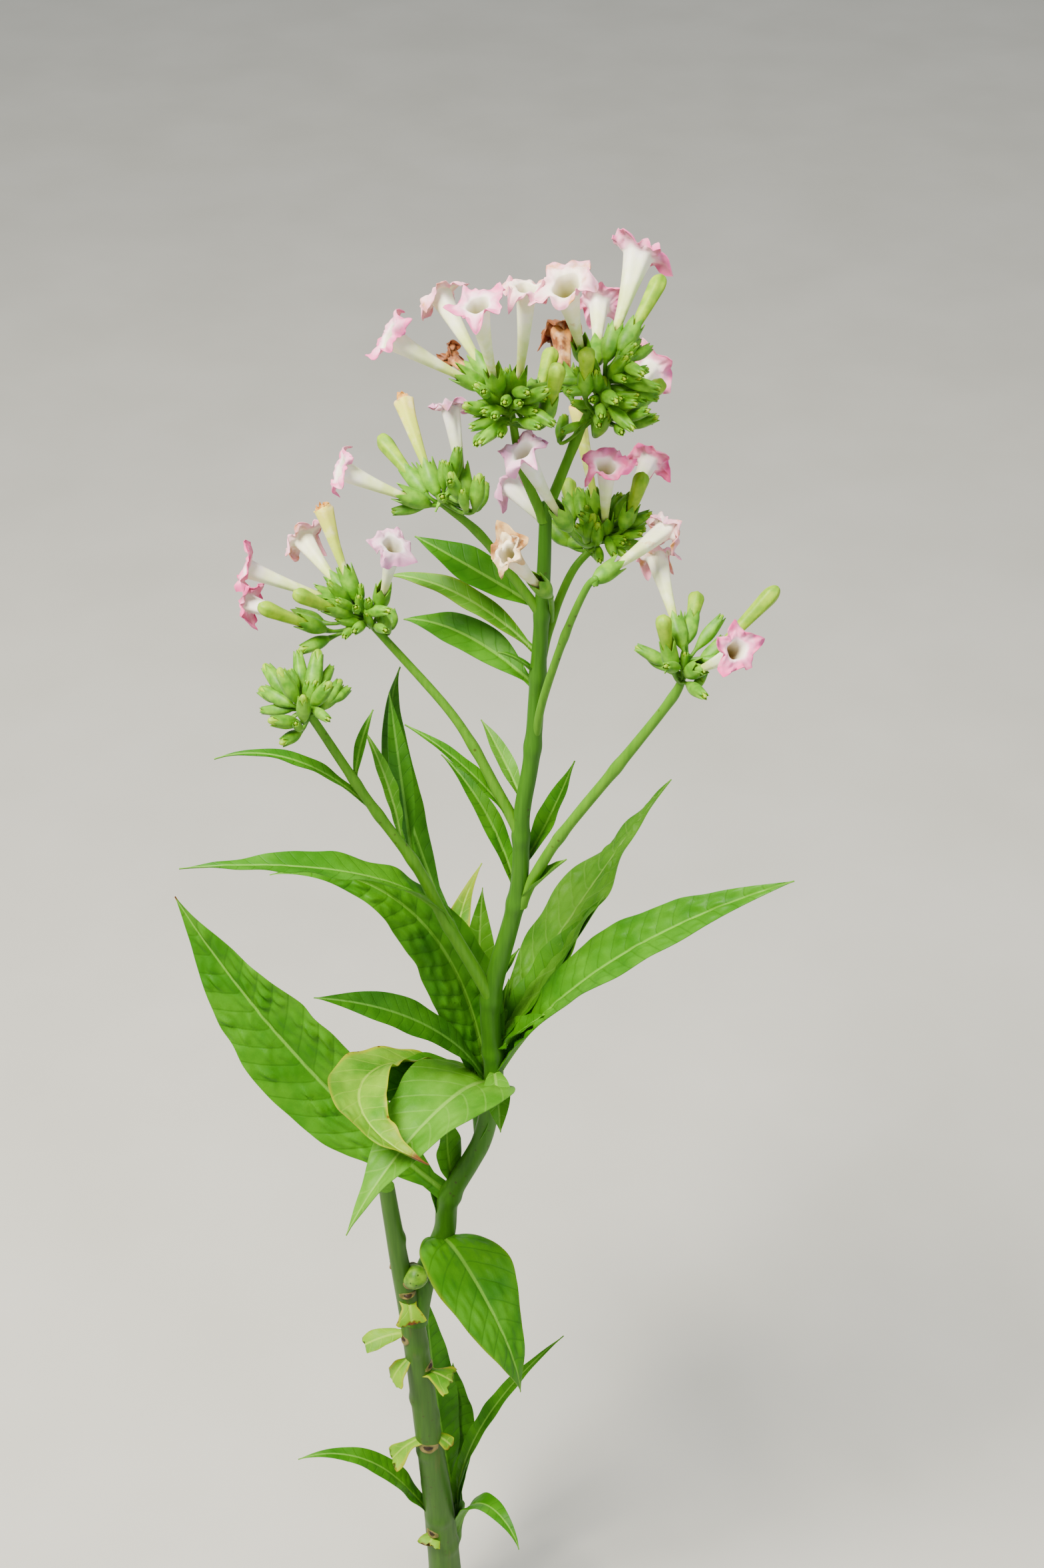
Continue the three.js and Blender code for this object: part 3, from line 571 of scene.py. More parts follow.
def leaf_skin(name, face, crest, rib, vein, under):
    """Leaf skin: face colour going to crest in mottles 22 mm wide, a net of the smallest veins in
    cells of 4 mm, a pale midrib and side veins by their own marks, and yellow and scorched parts
    with brown specks about 5 mm apart where the leaf is marked for them. The net and the side veins
    take the vein colour, which on deep and bright skins is darker than the face: painted shade in
    the sunk veins. Veins and specks are drawn coarser than life, so they show."""
    skin, tree, shader, place = new_skin(name, 0.5, Specular_IOR_Level=0.15, Subsurface_Weight=0.06,
                                         Subsurface_Scale=0.003, Subsurface_Radius=(0.6, 1.0, 0.2))
    marks = {mark: add(tree, "Attribute", output="Fac", attribute_name=mark)
             for mark in ("vein", "midrib", "underside", "yellowing", "scorched")}
    half_on = add(tree, "Math", {0: marks["vein"], 1: 0.5}, operation="ADD")
    saw = add(tree, "Math", {0: half_on}, operation="FRACT")
    centred = add(tree, "Math", {0: saw, 1: 0.5}, operation="SUBTRACT")
    from_vein = add(tree, "Math", {0: centred}, operation="ABSOLUTE")
    from_rib = add(tree, "Math", {0: marks["midrib"]}, operation="ABSOLUTE")
    cells = add(tree, "TexVoronoi", {"Vector": place, "Scale": 250}, feature="DISTANCE_TO_EDGE")
    specks = add(tree, "TexVoronoi", {"Vector": place, "Scale": 190})
    lines = (
        (from_vein, 0.01, 0.08, 0.4, "SMOOTHSTEP"),
        (from_rib, 0.5, 1.2, 0.7, "SMOOTHSTEP"),
        (cells, 0, 0.09, 0.08, "LINEAR"),
        (specks, 0.12, 0.24, 1, "LINEAR"),
    )
    side_vein, on_rib, net, speck = (
        add(tree, "MapRange", {"Value": away, "From Min": near, "From Max": far, "To Min": most, "To Max": 0},
            interpolation_type=edge) for away, near, far, most, edge in lines)
    mottle = add(tree, "TexNoise", {"Vector": place, "Scale": 45, "Detail": 3})
    colour = add(tree, "ValToRGB", {"Fac": mottle}, stops=((0.35, face), (0.68, crest)))
    pale_back = add(tree, "Math", {0: marks["underside"], 1: 0.6}, operation="MULTIPLY")
    spotted = add(tree, "Math", {0: speck, 1: marks["yellowing"]}, operation="MULTIPLY")
    brown = add(tree, "Math", {0: spotted, 1: marks["scorched"]}, operation="MAXIMUM")
    # On deep and bright skins the vein colour mixed in here is darker than the face: painted shade in the
    # sunk veins.
    for share, tint in ((net, vein), (side_vein, vein), (marks["yellowing"], "#8C9800"), (on_rib, rib),
                        (pale_back, under), (brown, "#5E3A16")):
        colour = add(tree, "Mix", {0: share, 6: colour, 7: linear(tint)}, output=2, data_type="RGBA")
    fine = add(tree, "TexNoise", {"Vector": place, "Scale": 700, "Detail": 2})
    sunk = add(tree, "Math", {0: net, 1: side_vein}, operation="ADD")
    relief = add(tree, "Math", {0: fine, 1: 0.3, 2: sunk}, operation="MULTIPLY_ADD")
    height = add(tree, "Math", {0: relief, 1: -1.0}, operation="MULTIPLY")
    bump = add(tree, "Bump", {"Height": height, "Strength": 0.35, "Distance": 0.0007})
    feed(shader, {"Base Color": colour, "Normal": bump})
    return skin


# Leaf skins: a thin waxy skin over soft tissue, satin in the light. Deep is full grown and shaded,
# bright is full grown, pale is young and thin, yellowing is old. Each is its face, crest, midrib,
# vein and underside. The veins of deep and bright are darker than their faces, as painted shade in
# the sunk veins; those of pale and yellowing are lighter, as veins are.
LEAF_TONES = {
    "deep": ("#225802", "#367008", "#5E9430", "#1E4C02", "#447A1C"),
    "bright": ("#2A6802", "#448408", "#70A834", "#225602", "#508622"),
    "pale": ("#3C780C", "#58941A", "#80B042", "#6CA034", "#629632"),
    "yellowing": ("#427E08", "#74A40E", "#94B838", "#84AC26", "#64941C"),
}
LEAF_SKINS = {tone: leaf_skin(tone + "_leaf_skin", *colours) for tone, colours in LEAF_TONES.items()}


def grow_leaves(stem, leaves, **shared):
    """Builds each leaf of a group on one stem, from its own sizes and those that the group shares. A
    leaf's dice are seeded by its own name."""
    for name, own in leaves.items():
        sizes = {**shared, **own}
        skin = LEAF_SKINS[sizes.pop("tone")]
        piece(name + "_blade", [blade(stem, dice_for(name), **sizes)], [skin], [name])


grow_leaves(LIMBS["flowering_stem"], WHORL_LEAVES)


# Bough leaves: narrow young blades on the left bough, some of them curled. Each grows from its own
# node, and is thinner and softer than those of the whorl.
BOUGH_LEAVES = {
    "leaf_bough_long": dict(
        height=655, length=158, azimuth=117, turn=19, rise=38, droop=115, bend=0.58, width=18, neck=8,
        fold=18, roll=-15, tone="deep", ruffle=1.2, wave=36, blister=0.5),
    "leaf_bough_back": dict(
        height=706, length=86, azimuth=104, rise=60, droop=56, width=12, neck=5, fold=15, tone="deep",
        ruffle=0.8, wave=26, blister=0.4),
    "leaf_bough_curled": dict(
        height=717, length=64, azimuth=130, rise=85, droop=45, width=9, neck=4, fold=20, tone="pale",
        ruffle=1.0, wave=16, blister=0.3),
    "leaf_bough_bract": dict(
        height=761, length=38, azimuth=60, rise=80, droop=40, width=6, neck=3, fold=20, tone="bright",
        ruffle=0.4, wave=14, blister=0.2),
    "leaf_bough_side": dict(
        height=738, length=96, azimuth=189, turn=3, rise=53, droop=-14, bend=0.7, width=8, neck=4, fold=20,
        roll=-15, tone="bright", ruffle=0.7, wave=22, blister=0.3),
    "leaf_bough_left": dict(
        height=655, length=165, azimuth=212, turn=-30, rise=80, droop=-5, bend=0.32, width=22, widest=0.43,
        neck=8, fold=18, tone="bright", ruffle=1.8, wave=30, blister=0.7),
}
grow_leaves(LIMBS["bough_left"], BOUGH_LEAVES)


# Upper leaves: small blades at the nodes of the flowering stem, three broader ones behind the
# flowers on the left, and, lowest of all, the old one that hangs in front of the main stem.
UPPER_LEAVES = {
    "leaf_fork_left": dict(
        height=714, length=87, azimuth=169, rise=64, droop=29, width=9, neck=4, fold=20, roll=-10,
        tone="bright", ruffle=0.8, wave=22, blister=0.3),
    "leaf_stem_left": dict(
        height=672, length=88, azimuth=131, turn=6, rise=75, droop=19, bend=0.54, width=12, neck=5, fold=20,
        roll=-10, tone="bright", ruffle=0.9, wave=24, blister=0.4),
    "leaf_stem_axil": dict(
        height=734, length=49, azimuth=124, rise=50, droop=25, bend=0.53, width=10, neck=4, fold=20,
        tone="pale", ruffle=0.7, wave=18, blister=0.3),
    "leaf_stem_right": dict(
        height=690, length=66, azimuth=36, turn=2, rise=52, droop=64, width=13, neck=5, fold=20,
        tone="bright", ruffle=0.9, wave=20, blister=0.4),
    "leaf_fork_right": dict(
        height=666, length=50, azimuth=337, rise=60, droop=50, width=10, neck=5, fold=28, roll=10,
        tone="pale", ruffle=0.8, wave=14, blister=0.3),
    "leaf_high_left": dict(
        height=850, length=70, azimuth=161, turn=-4, rise=27, droop=18, width=20, widest=0.52, neck=4,
        fold=13, roll=-25, tone="bright", ruffle=1.4, wave=24, blister=0.6),
    "leaf_back_left": dict(
        height=824, length=89, azimuth=155, turn=-2, rise=39, droop=-17, bend=0.6, width=13, neck=4,
        fold=12, roll=-15, tone="pale", ruffle=1.1, wave=26, blister=0.5, fade=0.3),
    "leaf_back_low_left": dict(
        height=805, length=83, azimuth=148, turn=-2, rise=32, droop=-22, bend=0.58, width=20, neck=5,
        fold=12, roll=-20, tone="bright", ruffle=1.4, wave=28, blister=0.7),
    "leaf_low_front": dict(
        height=394, length=130, azimuth=292, turn=26, rise=75, droop=-85, bend=0.3, width=52, widest=0.36,
        neck=12, fold=4, roll=-10, tone="bright", ruffle=2.4, wave=44, blister=1.6, fade=0.3, scorch=0.02),
}
grow_leaves(LIMBS["flowering_stem"], UPPER_LEAVES)


# Sucker leaves: the upright and drooping leaves of the low side shoot, and the one old leaf that
# is left at the foot of the main stem.
SUCKER_LEAVES = {
    "leaf_sucker_tall": dict(
        height=100, length=205, azimuth=120, turn=-4, rise=73, droop=86, width=28, widest=0.53, neck=8,
        fold=15, tone="deep", ruffle=1.6, wave=38, blister=0.8),
    "leaf_sucker_dark": dict(
        height=106, length=137, azimuth=95, turn=-4, rise=61, droop=98, width=28, widest=0.55, neck=8,
        fold=13, roll=-8, tone="deep", ruffle=1.6, wave=34, blister=0.8),
    "leaf_sucker_right": dict(
        height=104, length=195, azimuth=9, turn=5, rise=92, droop=43, width=13, neck=6, fold=20, roll=15,
        tone="bright", ruffle=1.0, wave=34, blister=0.4),
    "leaf_sucker_upright": dict(
        height=108, length=80, azimuth=48, turn=-5, rise=95, droop=51, bend=0.55, width=12, neck=5, fold=20,
        tone="bright", ruffle=0.8, wave=26, blister=0.4),
    "leaf_sucker_droop": dict(
        height=84, length=125, azimuth=320, turn=-16, rise=75, droop=-72, bend=0.8, width=18, neck=7,
        fold=12, tone="bright", ruffle=1.2, wave=30, blister=0.6),
}
grow_leaves(LIMBS["sucker_stem"], SUCKER_LEAVES)

BASE_LEAF = {
    "leaf_base_left": dict(
        height=106, length=150, azimuth=188, turn=6, rise=68, droop=-14, bend=0.8, width=17, neck=7,
        fold=15, roll=-15, tone="bright", ruffle=1.2, wave=32, blister=0.6),
}
grow_leaves(MAIN_STEM, BASE_LEAF)


# Leaf feet: where old leaves were picked, the main stem keeps broad torn feet of their blades,
# limp, yellow and brown at the tear.
TORN_FEET = {
    "leaf_stub_front": dict(
        height=365, length=40, torn=0.48, azimuth=284, rise=5, droop=-110, width=20, neck=13, roll=-10,
        fade=1.2, scorch=0.03),
    "leaf_stub_left": dict(
        height=306, length=50, torn=0.5, azimuth=214, rise=10, droop=-112, width=19, neck=8, roll=10,
        fade=1.1),
    "leaf_stub_right": dict(
        height=288, length=46, torn=0.48, azimuth=338, rise=35, droop=-60, width=28, neck=15, roll=-20,
        fade=1.3, scorch=0.01),
    "leaf_stub_low": dict(
        height=216, length=62, torn=0.48, azimuth=206, rise=25, droop=-95, width=21, neck=12, roll=15,
        fade=0.9, scorch=0.02),
}
SMALL_TORN_FEET = (
    dict(height=326, length=46, torn=0.7, azimuth=192, rise=30, droop=-45, width=13, neck=7, roll=-20,
         fade=0.3),
    dict(height=218, length=28, torn=0.62, azimuth=342, rise=25, droop=-80, width=10, neck=7, roll=25,
         fade=1.4, scorch=0.06),
    dict(height=104, length=34, torn=0.5, azimuth=238, rise=45, droop=-60, width=17, neck=15, fade=0.8,
         scorch=0.06),
)
LIMP = dict(bend=0.35, widest=0.55, fold=-8, ruffle=2.2, wave=14, blister=0.5)

grow_leaves(MAIN_STEM, TORN_FEET, tone="yellowing", **LIMP)
dice = np.random.default_rng(100)
small_feet = [blade(MAIN_STEM, dice, **LIMP, **sizes) for sizes in SMALL_TORN_FEET]
piece("stem_small_torn_feet", small_feet, [LEAF_SKINS["yellowing"]])


# Scars: under each picked leaf is a crescent of tan cork with a dark dormant bud sunk above it, on
# the main stem all round. Each is (height, azimuth, half its width, half its height).
STEM_SCARS = (
    (213, 268, 7.5, 4.2), (325, 212, 4.6, 4.6), (371, 286, 6.0, 2.2), (268, 120, 6.0, 3.4),
    (163, 62, 6.5, 3.6), (205, 30, 6.0, 3.4), (318, 80, 5.5, 3.0), (392, 150, 5.0, 2.8),
    (52, 190, 7.5, 4.0), (131, 150, 6.5, 3.6), (112, 238, 5.0, 3.6), (296, 338, 5.0, 2.6),
)
# Profiles from the edge to the middle: the share of the half width, and the height over the skin.
SCAR_PROFILE = ((1, 1, 0.92, 0.78, 0.6, 0.45, 0.25, 0.02), (-1.5, 0.1, 0.45, 0.65, 0.5, 0.2, 0.1, 0.1))
BUD_PROFILE = ((1, 1, 0.85, 0.6, 0.35, 0.02), (-1.0, 0.2, 0.5, 0.8, 1.3, 1.5))


def tissue_skin(name, face, crest, down, specks=None):
    """Soft plant tissue, face going to crest in mottles 5 mm wide, under a little down. Specks is
    the colour of dark dots under a mm wide, about 4 mm apart."""
    skin, tree, shader, place = new_skin(name, 0.5, Specular_IOR_Level=0.3, Sheen_Weight=down,
                                         Sheen_Roughness=0.4, Subsurface_Weight=0.08,
                                         Subsurface_Scale=0.003)
    mottle = add(tree, "TexNoise", {"Vector": place, "Scale": 210, "Detail": 3})
    colour = add(tree, "ValToRGB", {"Fac": mottle}, stops=((0.35, face), (0.68, crest)))
    if specks:
        dots = add(tree, "TexVoronoi", {"Vector": place, "Scale": 260})
        dot = add(tree, "MapRange", {"Value": dots, "From Min": 0.1, "From Max": 0.2,
                                     "To Min": 0.9, "To Max": 0})
        colour = add(tree, "Mix", {0: dot, 6: colour, 7: linear(specks)}, output=2, data_type="RGBA")
    bump = add(tree, "Bump", {"Height": mottle, "Strength": 0.3, "Distance": 0.0006})
    feed(shader, {"Base Color": colour, "Normal": bump})
    return skin


def pad(height, azimuth, wide, tall, profile, slot=0, low_side=0.0):
    """A growth wrapped on the main stem's skin. A point that lies u sideways stands at the azimuth
    plus u / radius, so the pad hugs the stem. Low_side thickens its lower half."""
    line, radius = stem_line(**MAIN_STEM, grid=1.0)
    turn = once_round(32)
    share, lift = (np.array(row)[:, None] for row in profile)
    rough = 1 + 0.07 * np.cos(3 * turn + height) + 0.05 * np.sin(7 * turn + 2 * height)
    sideways = wide * share * rough * np.cos(turn)
    level = height + tall * share * rough * np.sin(turn)
    middle = np.stack([np.interp(level, line[:, 2], line[:, axis]) for axis in range(3)], -1)
    skin_radius = np.interp(level, line[:, 2], radius)
    out = skin_radius + lift * (1 - low_side * np.sin(turn))
    return shell(middle + out[..., None] * way(azimuth + np.degrees(sideways / skin_radius), 0), slot)


# Scar cork is dry matt bark, tan in pale and dark flecks. A dormant bud is shut in dry scales, nearly
# black.
scar_cork = tissue_skin("scar_cork", "#565420", "#7C6E3A", 0.0)
dark_bud = tissue_skin("dark_dormant_bud", "#1A1208", "#33230F", 0.0)

scar_shells = []
for height, azimuth, wide, tall in STEM_SCARS:
    bud_place = (height + 0.15 * tall, azimuth, 0.42 * wide, 0.5 * tall)
    scar_shells.append(pad(height, azimuth, wide, tall, SCAR_PROFILE, low_side=0.7))
    scar_shells.append(pad(*bud_place, BUD_PROFILE, slot=1))
piece("stem_scars", scar_shells, [scar_cork, dark_bud])


# Knob: the callus over a side shoot that was cut off, a smooth green barrel in the fork of the two
# stems, with dark specks and a collar of tan cork.
KNOB_FOOT = (-15, -9, 381)
KNOB_AZIMUTH = 305
KNOB_ELEVATION = 38
KNOB_RADIUS = 7.6
KNOB_SIDES = 40
COLLAR_HEIGHTS = (1.0, 1.6, 2.8, 4.0, 4.8)
COLLAR_RADII = (5.0, 7.3, 8.1, 7.9, 6.2)


def about_axis(foot, azimuth, elevation, heights, radii, sag=0, length=1.0):
    """Points about a straight axis from a foot: height along it and radius around it, with the
    axis bowed down by sag in its middle as a parabola that keeps both its ends."""
    ahead = way(azimuth, elevation)
    side = way(azimuth + 90, 0)
    up = np.cross(ahead, side)
    turn = once_round(heights.shape[1])[..., None]
    q = heights[..., None] / length
    middle = np.array(foot, float) + heights[..., None] * ahead + sag * 4 * (q * q - q) * up
    return middle + radii[..., None] * (np.cos(turn) * side + np.sin(turn) * up)


# Callus: soft new bark that has closed over the cut, smooth and satin, with dark specks.
callus = tissue_skin("green_callus", "#3E7006", "#6C9A1C", 0.02, "#20340A")

turn = once_round(KNOB_SIDES)
rise = np.linspace(0, np.pi / 2, 16)[:, None]
barrel_radii = KNOB_RADIUS * np.maximum(np.cos(rise), 0.01) ** 0.6 * (1 + 0.03 * np.cos(3 * turn + 1))
barrel_radii = np.vstack([0.75 * KNOB_RADIUS + 0 * turn, barrel_radii])
barrel_heights = np.vstack([0 * turn - 1, 5.0 + 10.0 * np.sin(rise) + 0 * turn])
collar_heights = np.array(COLLAR_HEIGHTS)[:, None] + 0.4 * np.cos(4 * turn)
collar_radii = np.array(COLLAR_RADII)[:, None] + 0.25 * np.cos(5 * turn)
barrel = shell(about_axis(KNOB_FOOT, KNOB_AZIMUTH, KNOB_ELEVATION, barrel_heights, barrel_radii))
collar = shell(about_axis(KNOB_FOOT, KNOB_AZIMUTH, KNOB_ELEVATION, collar_heights, collar_radii), slot=1)
piece("stem_knob_rind", [barrel, collar], [callus, scar_cork], ["stem_knob"])


# Axil leaves: small young leaves, thin and soft, that stand in the angles between older leaves and
# the flowering stem, and one broad short leaf on its left.
AXIL_LEAVES = (
    dict(height=402, length=44, azimuth=128, turn=10, rise=80, droop=62, width=12, neck=4, fold=20),
    dict(height=468, length=56, azimuth=18, turn=20, rise=86, droop=70, width=17, neck=8, fold=12),
    dict(height=500, length=62, azimuth=168, turn=-10, rise=82, droop=72, width=13, neck=6, fold=22),
    dict(height=512, length=84, azimuth=198, turn=6, rise=51, droop=-12, width=42, neck=6, fold=10),
    dict(height=520, length=70, azimuth=66, rise=80, droop=60, width=14, neck=6, fold=22),
    dict(height=590, length=38, azimuth=30, rise=72, droop=50, width=7, neck=3, fold=20),
    dict(height=812, length=26, azimuth=190, rise=60, droop=20, width=6, neck=3, fold=20),
    dict(height=436, length=58, azimuth=128, rise=74, droop=98, width=18, neck=6, fold=10),
)
AXIL_SEED = 200
TENDER = dict(ruffle=1.0, wave=20, blister=0.4)

axil_shells = [blade(LIMBS["flowering_stem"], np.random.default_rng(AXIL_SEED + number), **TENDER, **sizes)
               for number, sizes in enumerate(AXIL_LEAVES)]
piece("stem_axil_leaves", axil_shells, [LEAF_SKINS["bright"]])


# Flowers: a corolla is a 50 mm trumpet of thin petal tissue, cream at its foot, with a pink limb of
# five pointed, ruffled lobes. It stands in a green calyx of five teeth on a short stalk.
LOBES = 5
CALYX_LENGTH = 18.0
CALYX_RADIUS = 4.3
CALYX_THICKNESS = 0.5
CLUB_RADIUS = 4.1
PETAL_THICKNESS = 0.35
SMALL_BUD = 17.5
CALYX_SLOT, ROLLED_SLOT, STALK_SLOT = 0, 1, 2


def lobe_wave(around):
    """Five lobes round a ring: a rounded cosine plus a sharp point, from 0 between lobes to 1 on
    a tip, and the sharp point alone."""
    turn = np.linspace(0, 1, around, endpoint=False)[None] * LOBES
    point = 1 - 2 * np.abs(turn - np.round(turn))
    return 0.35 * (0.5 + 0.5 * np.cos(2 * np.pi * turn)) + 0.65 * point ** 2.2, point


def lined(heights, radii, thickness, first):
    """An outer wall and the inner wall that follows it, from its foot over the rim and back in to
    row first. The inner wall is the outer one moved by thickness square to its own profile."""
    rise, spread = np.gradient(heights, axis=0), np.gradient(radii, axis=0)
    size = np.hypot(rise, spread) + 1e-9
    inner_heights = heights + thickness * spread / size
    inner_radii = np.maximum(radii - thickness * rise / size, 0.15)
    heights = np.concatenate([heights, inner_heights[first:][::-1]])
    radii = np.concatenate([radii, inner_radii[first:][::-1]])
    return heights, radii


def corolla(foot, azimuth, elevation, length, dice, spread, throat, flare, ruffle, crumple=0.0):
    """A trumpet flower. Its tube radius is 1 + 2q + (throat - 3)q^2.4. Past the throat the
    profile is the sum of short steps whose lean from the axis goes from the first flare angle to
    the second, and the steps of a lobe are longer than those between lobes. A crumpled one is drawn
    in and uneven past the middle of its tube."""
    around, tube_rows, limb_rows, first_lined = 75, 16, 14, 6
    lobes, _ = lobe_wave(around)
    turn = np.linspace(0, 1, around, endpoint=False)[None]
    five = np.cos(2 * np.pi * LOBES * turn)
    q = np.linspace(0, 1, tube_rows)[:, None]
    tube_radii = (1.0 + 2.0 * q + (throat - 3.0) * q ** 2.4) * (1 + 0.05 * q * five)
    e = np.linspace(0, 1, limb_rows + 1)[1:, None]
    bent = 50 * soft_noise(dice, turn * 5, 0.5 + 0 * e, around=5)
    curl = 44 * soft_noise(dice, turn * 10, 3 * e + 7, around=10)
    lean = np.radians(flare[0] + (flare[1] + bent - flare[0]) * e ** 0.7 + curl * e)
    uneven = 1 + 0.16 * soft_noise(dice, turn * 5, 20.5 + 0 * e, around=5)
    step = (spread - throat) * uneven * (0.6 + 0.55 * lobes) / limb_rows
    limb_radii = throat * (1 + 0.05 * five) + np.cumsum(np.sin(lean) * step, axis=0)
    limb_heights = length + np.cumsum(np.cos(lean) * step, axis=0) - 1.3 * e * five * e
    crinkle = soft_noise(dice, turn * 15, e * 2, around=15)
    crinkle = crinkle + 0.6 * soft_noise(dice, turn * 30, e * 3, around=30)
    limb_heights = limb_heights + ruffle * e ** 1.2 * crinkle
    limb_radii = limb_radii + 0.5 * ruffle * e * soft_noise(dice, turn * 20, e * 3, around=20)
    heights = np.concatenate([q * length + 0 * turn, limb_heights])
    radii = np.concatenate([tube_radii, limb_radii])
    squash = 1 + 0.1 * np.cos(2 * np.pi * 2 * (turn - dice.random()))
    radii = radii * (1 + (squash - 1) * np.clip(heights / length, 0, 1) ** 3)
    reach = np.concatenate([q, 1 + e]) + 0 * turn
    worn = crumple * np.clip(reach - 0.45, 0, 1)
    radii = radii * (1 - 0.25 * worn) + 2.2 * worn * soft_noise(dice, turn * 9, reach * 5, around=9)
    heights = heights + 3.2 * worn * soft_noise(dice, turn * 7, reach * 4 + 9, around=7)
    heights, radii = lined(heights, np.maximum(radii, 0.4), PETAL_THICKNESS, first_lined)
    reach = np.concatenate([reach, reach[first_lined:][::-1]])
    rings = about_axis(foot, azimuth, elevation, heights, radii, sag=1.0, length=length)
    inside = np.arange(len(reach))[:, None] >= tube_rows + limb_rows
    # Depth marks the inner wall deep in the tube, where the petal skin paints shade.
    return shell(rings, reach=reach / 2, depth=inside * np.clip((1.06 - reach) / 0.3, 0, 1))


def calyx(foot, azimuth, elevation, length=CALYX_LENGTH, radius=CALYX_RADIUS, mouth=0.9, teeth=0.28):
    """A green cup: radius 1.3 + sine bulge, drawn in to a share mouth at the rim, where five teeth
    stand on a ring, each a straight-sided point of that share of the length. Five ribs run up to
    them."""
    around = 30 if length > SMALL_BUD else 20
    _, point = lobe_wave(around)
    q = np.linspace(0, 1, 11)[:, None]
    bulge = np.sin(np.pi * np.minimum(q * 0.8, 0.5))
    radii = (1.3 + (radius - 1.3) * bulge * (1 - (1 - mouth) * q ** 3)) * (1 + 0.06 * point ** 2)
    heights = length * ((1 - teeth) * q + teeth * q ** 3 * point)
    heights, radii = lined(heights, radii, CALYX_THICKNESS, first=4)
    return shell(about_axis(foot, azimuth, elevation, heights, radii, length=length), CALYX_SLOT)


def closed_tube(foot, azimuth, elevation, length, radius, slot=0, sag=0.6, pointed=0.16):
    """A bud: a club that swells as 0.2 + 0.8q^0.9 and closes over its last part as a quarter
    ellipse, with five twisted pleats where the petals are rolled together."""
    around, rows = (30, 26) if length > SMALL_BUD else (20, 12)
    q = np.sin(np.linspace(0, np.pi / 2, rows))[:, None] ** 0.9
    turn = once_round(around)
    closing = np.clip((q - 1 + pointed) / pointed, 0, 1)
    radii = radius * (0.2 + 0.8 * q ** 0.9) * np.sqrt(1 - closing ** 2 + 1e-4) + 0.1
    radii = radii * (1 + 0.09 * q ** 2 * np.cos(LOBES * turn + 4 * q))
    heights = length * q + 0 * turn
    return shell(about_axis(foot, azimuth, elevation, heights, radii, sag, length), slot)


def stalk(rachis, foot, azimuth, elevation):
    """A flower stalk: a curve a(1-t)^2 + 2bt(1-t) + ct^2 from the nearest place on the cluster's
    own axis to the foot of the calyx, which it enters along the flower's axis."""
    foot = np.array(foot, float)
    ahead = way(azimuth, elevation)
    lower = foot - 7 * ahead - (0, 0, 3)
    start, end = (np.array(point, float) for point in rachis)
    share = np.clip(np.dot(lower - start, end - start) / np.dot(end - start, end - start), 0, 1)
    start = start + share * (end - start)
    bend = foot - 0.45 * np.linalg.norm(foot - start) * ahead
    t = np.linspace(0, 1, 9)[:, None]
    line = start * (1 - t) ** 2 + 2 * bend * t * (1 - t) + (foot + 0.6 * ahead) * t ** 2
    radius = np.interp(t[:, 0], (0, 0.3, 0.8, 1), (1.5, 0.9, 0.95, 1.6))
    return shell(rings_about(line, radius, 8), STALK_SLOT)


def petal_skin(name, foot, tube, throat, limb, rim, wear, stain):
    """Petal tissue: colour by the place from foot (0) over throat (0.5) to rim (1), paler in soft
    washes 6 mm wide, with olive painted shade on the inner wall deep in the tube, and with stain in
    patches 10 mm wide where wear is above their noise."""
    skin, tree, shader, place = new_skin(name, 0.6, Specular_IOR_Level=0.3, Sheen_Weight=0.1,
                                         Subsurface_Weight=0.15, Subsurface_Scale=0.004)
    reach, depth = (add(tree, "Attribute", output="Fac", attribute_name=mark) for mark in ("reach", "depth"))
    wash = add(tree, "TexNoise", {"Vector": place, "Scale": 160, "Detail": 3})
    shifted = add(tree, "Math", {0: wash, 1: 0.22, 2: reach}, operation="MULTIPLY_ADD")
    banded = add(tree, "Math", {0: shifted, 1: 0.11}, operation="SUBTRACT")
    stops = ((0, foot), (0.18, foot), (0.36, tube), (0.5, throat), (0.62, limb), (0.95, rim))
    colour = add(tree, "ValToRGB", {"Fac": banded}, stops=stops)
    pale = add(tree, "MapRange", {"Value": wash, "From Min": 0.5, "From Max": 0.75,
                                  "To Min": 0, "To Max": 0.35})
    patches = {"Vector": place, "Scale": 95, "Detail": 4, "Roughness": 0.6}
    patch = add(tree, "TexNoise", patches)
    aged = add(tree, "Math", {0: reach, 1: 0.25, 2: patch}, operation="MULTIPLY_ADD")
    stained = add(tree, "MapRange", {"Value": aged, "From Min": 0.95 - wear,
                                     "From Max": 1.1 - wear})
    # The inner wall deep in the tube is mixed towards olive: painted shade where the tube is dark inside.
    deep = add(tree, "Math", {0: depth, 1: 0.85}, operation="MULTIPLY")
    for share, tint in ((pale, "#FBF4F0"), (stained, stain), (deep, "#7C8030")):
        colour = add(tree, "Mix", {0: share, 6: colour, 7: linear(tint)}, output=2, data_type="RGBA")
    bump = add(tree, "Bump", {"Height": wash, "Strength": 0.35, "Distance": 0.001})
    feed(shader, {"Base Color": colour, "Normal": bump})
    return skin


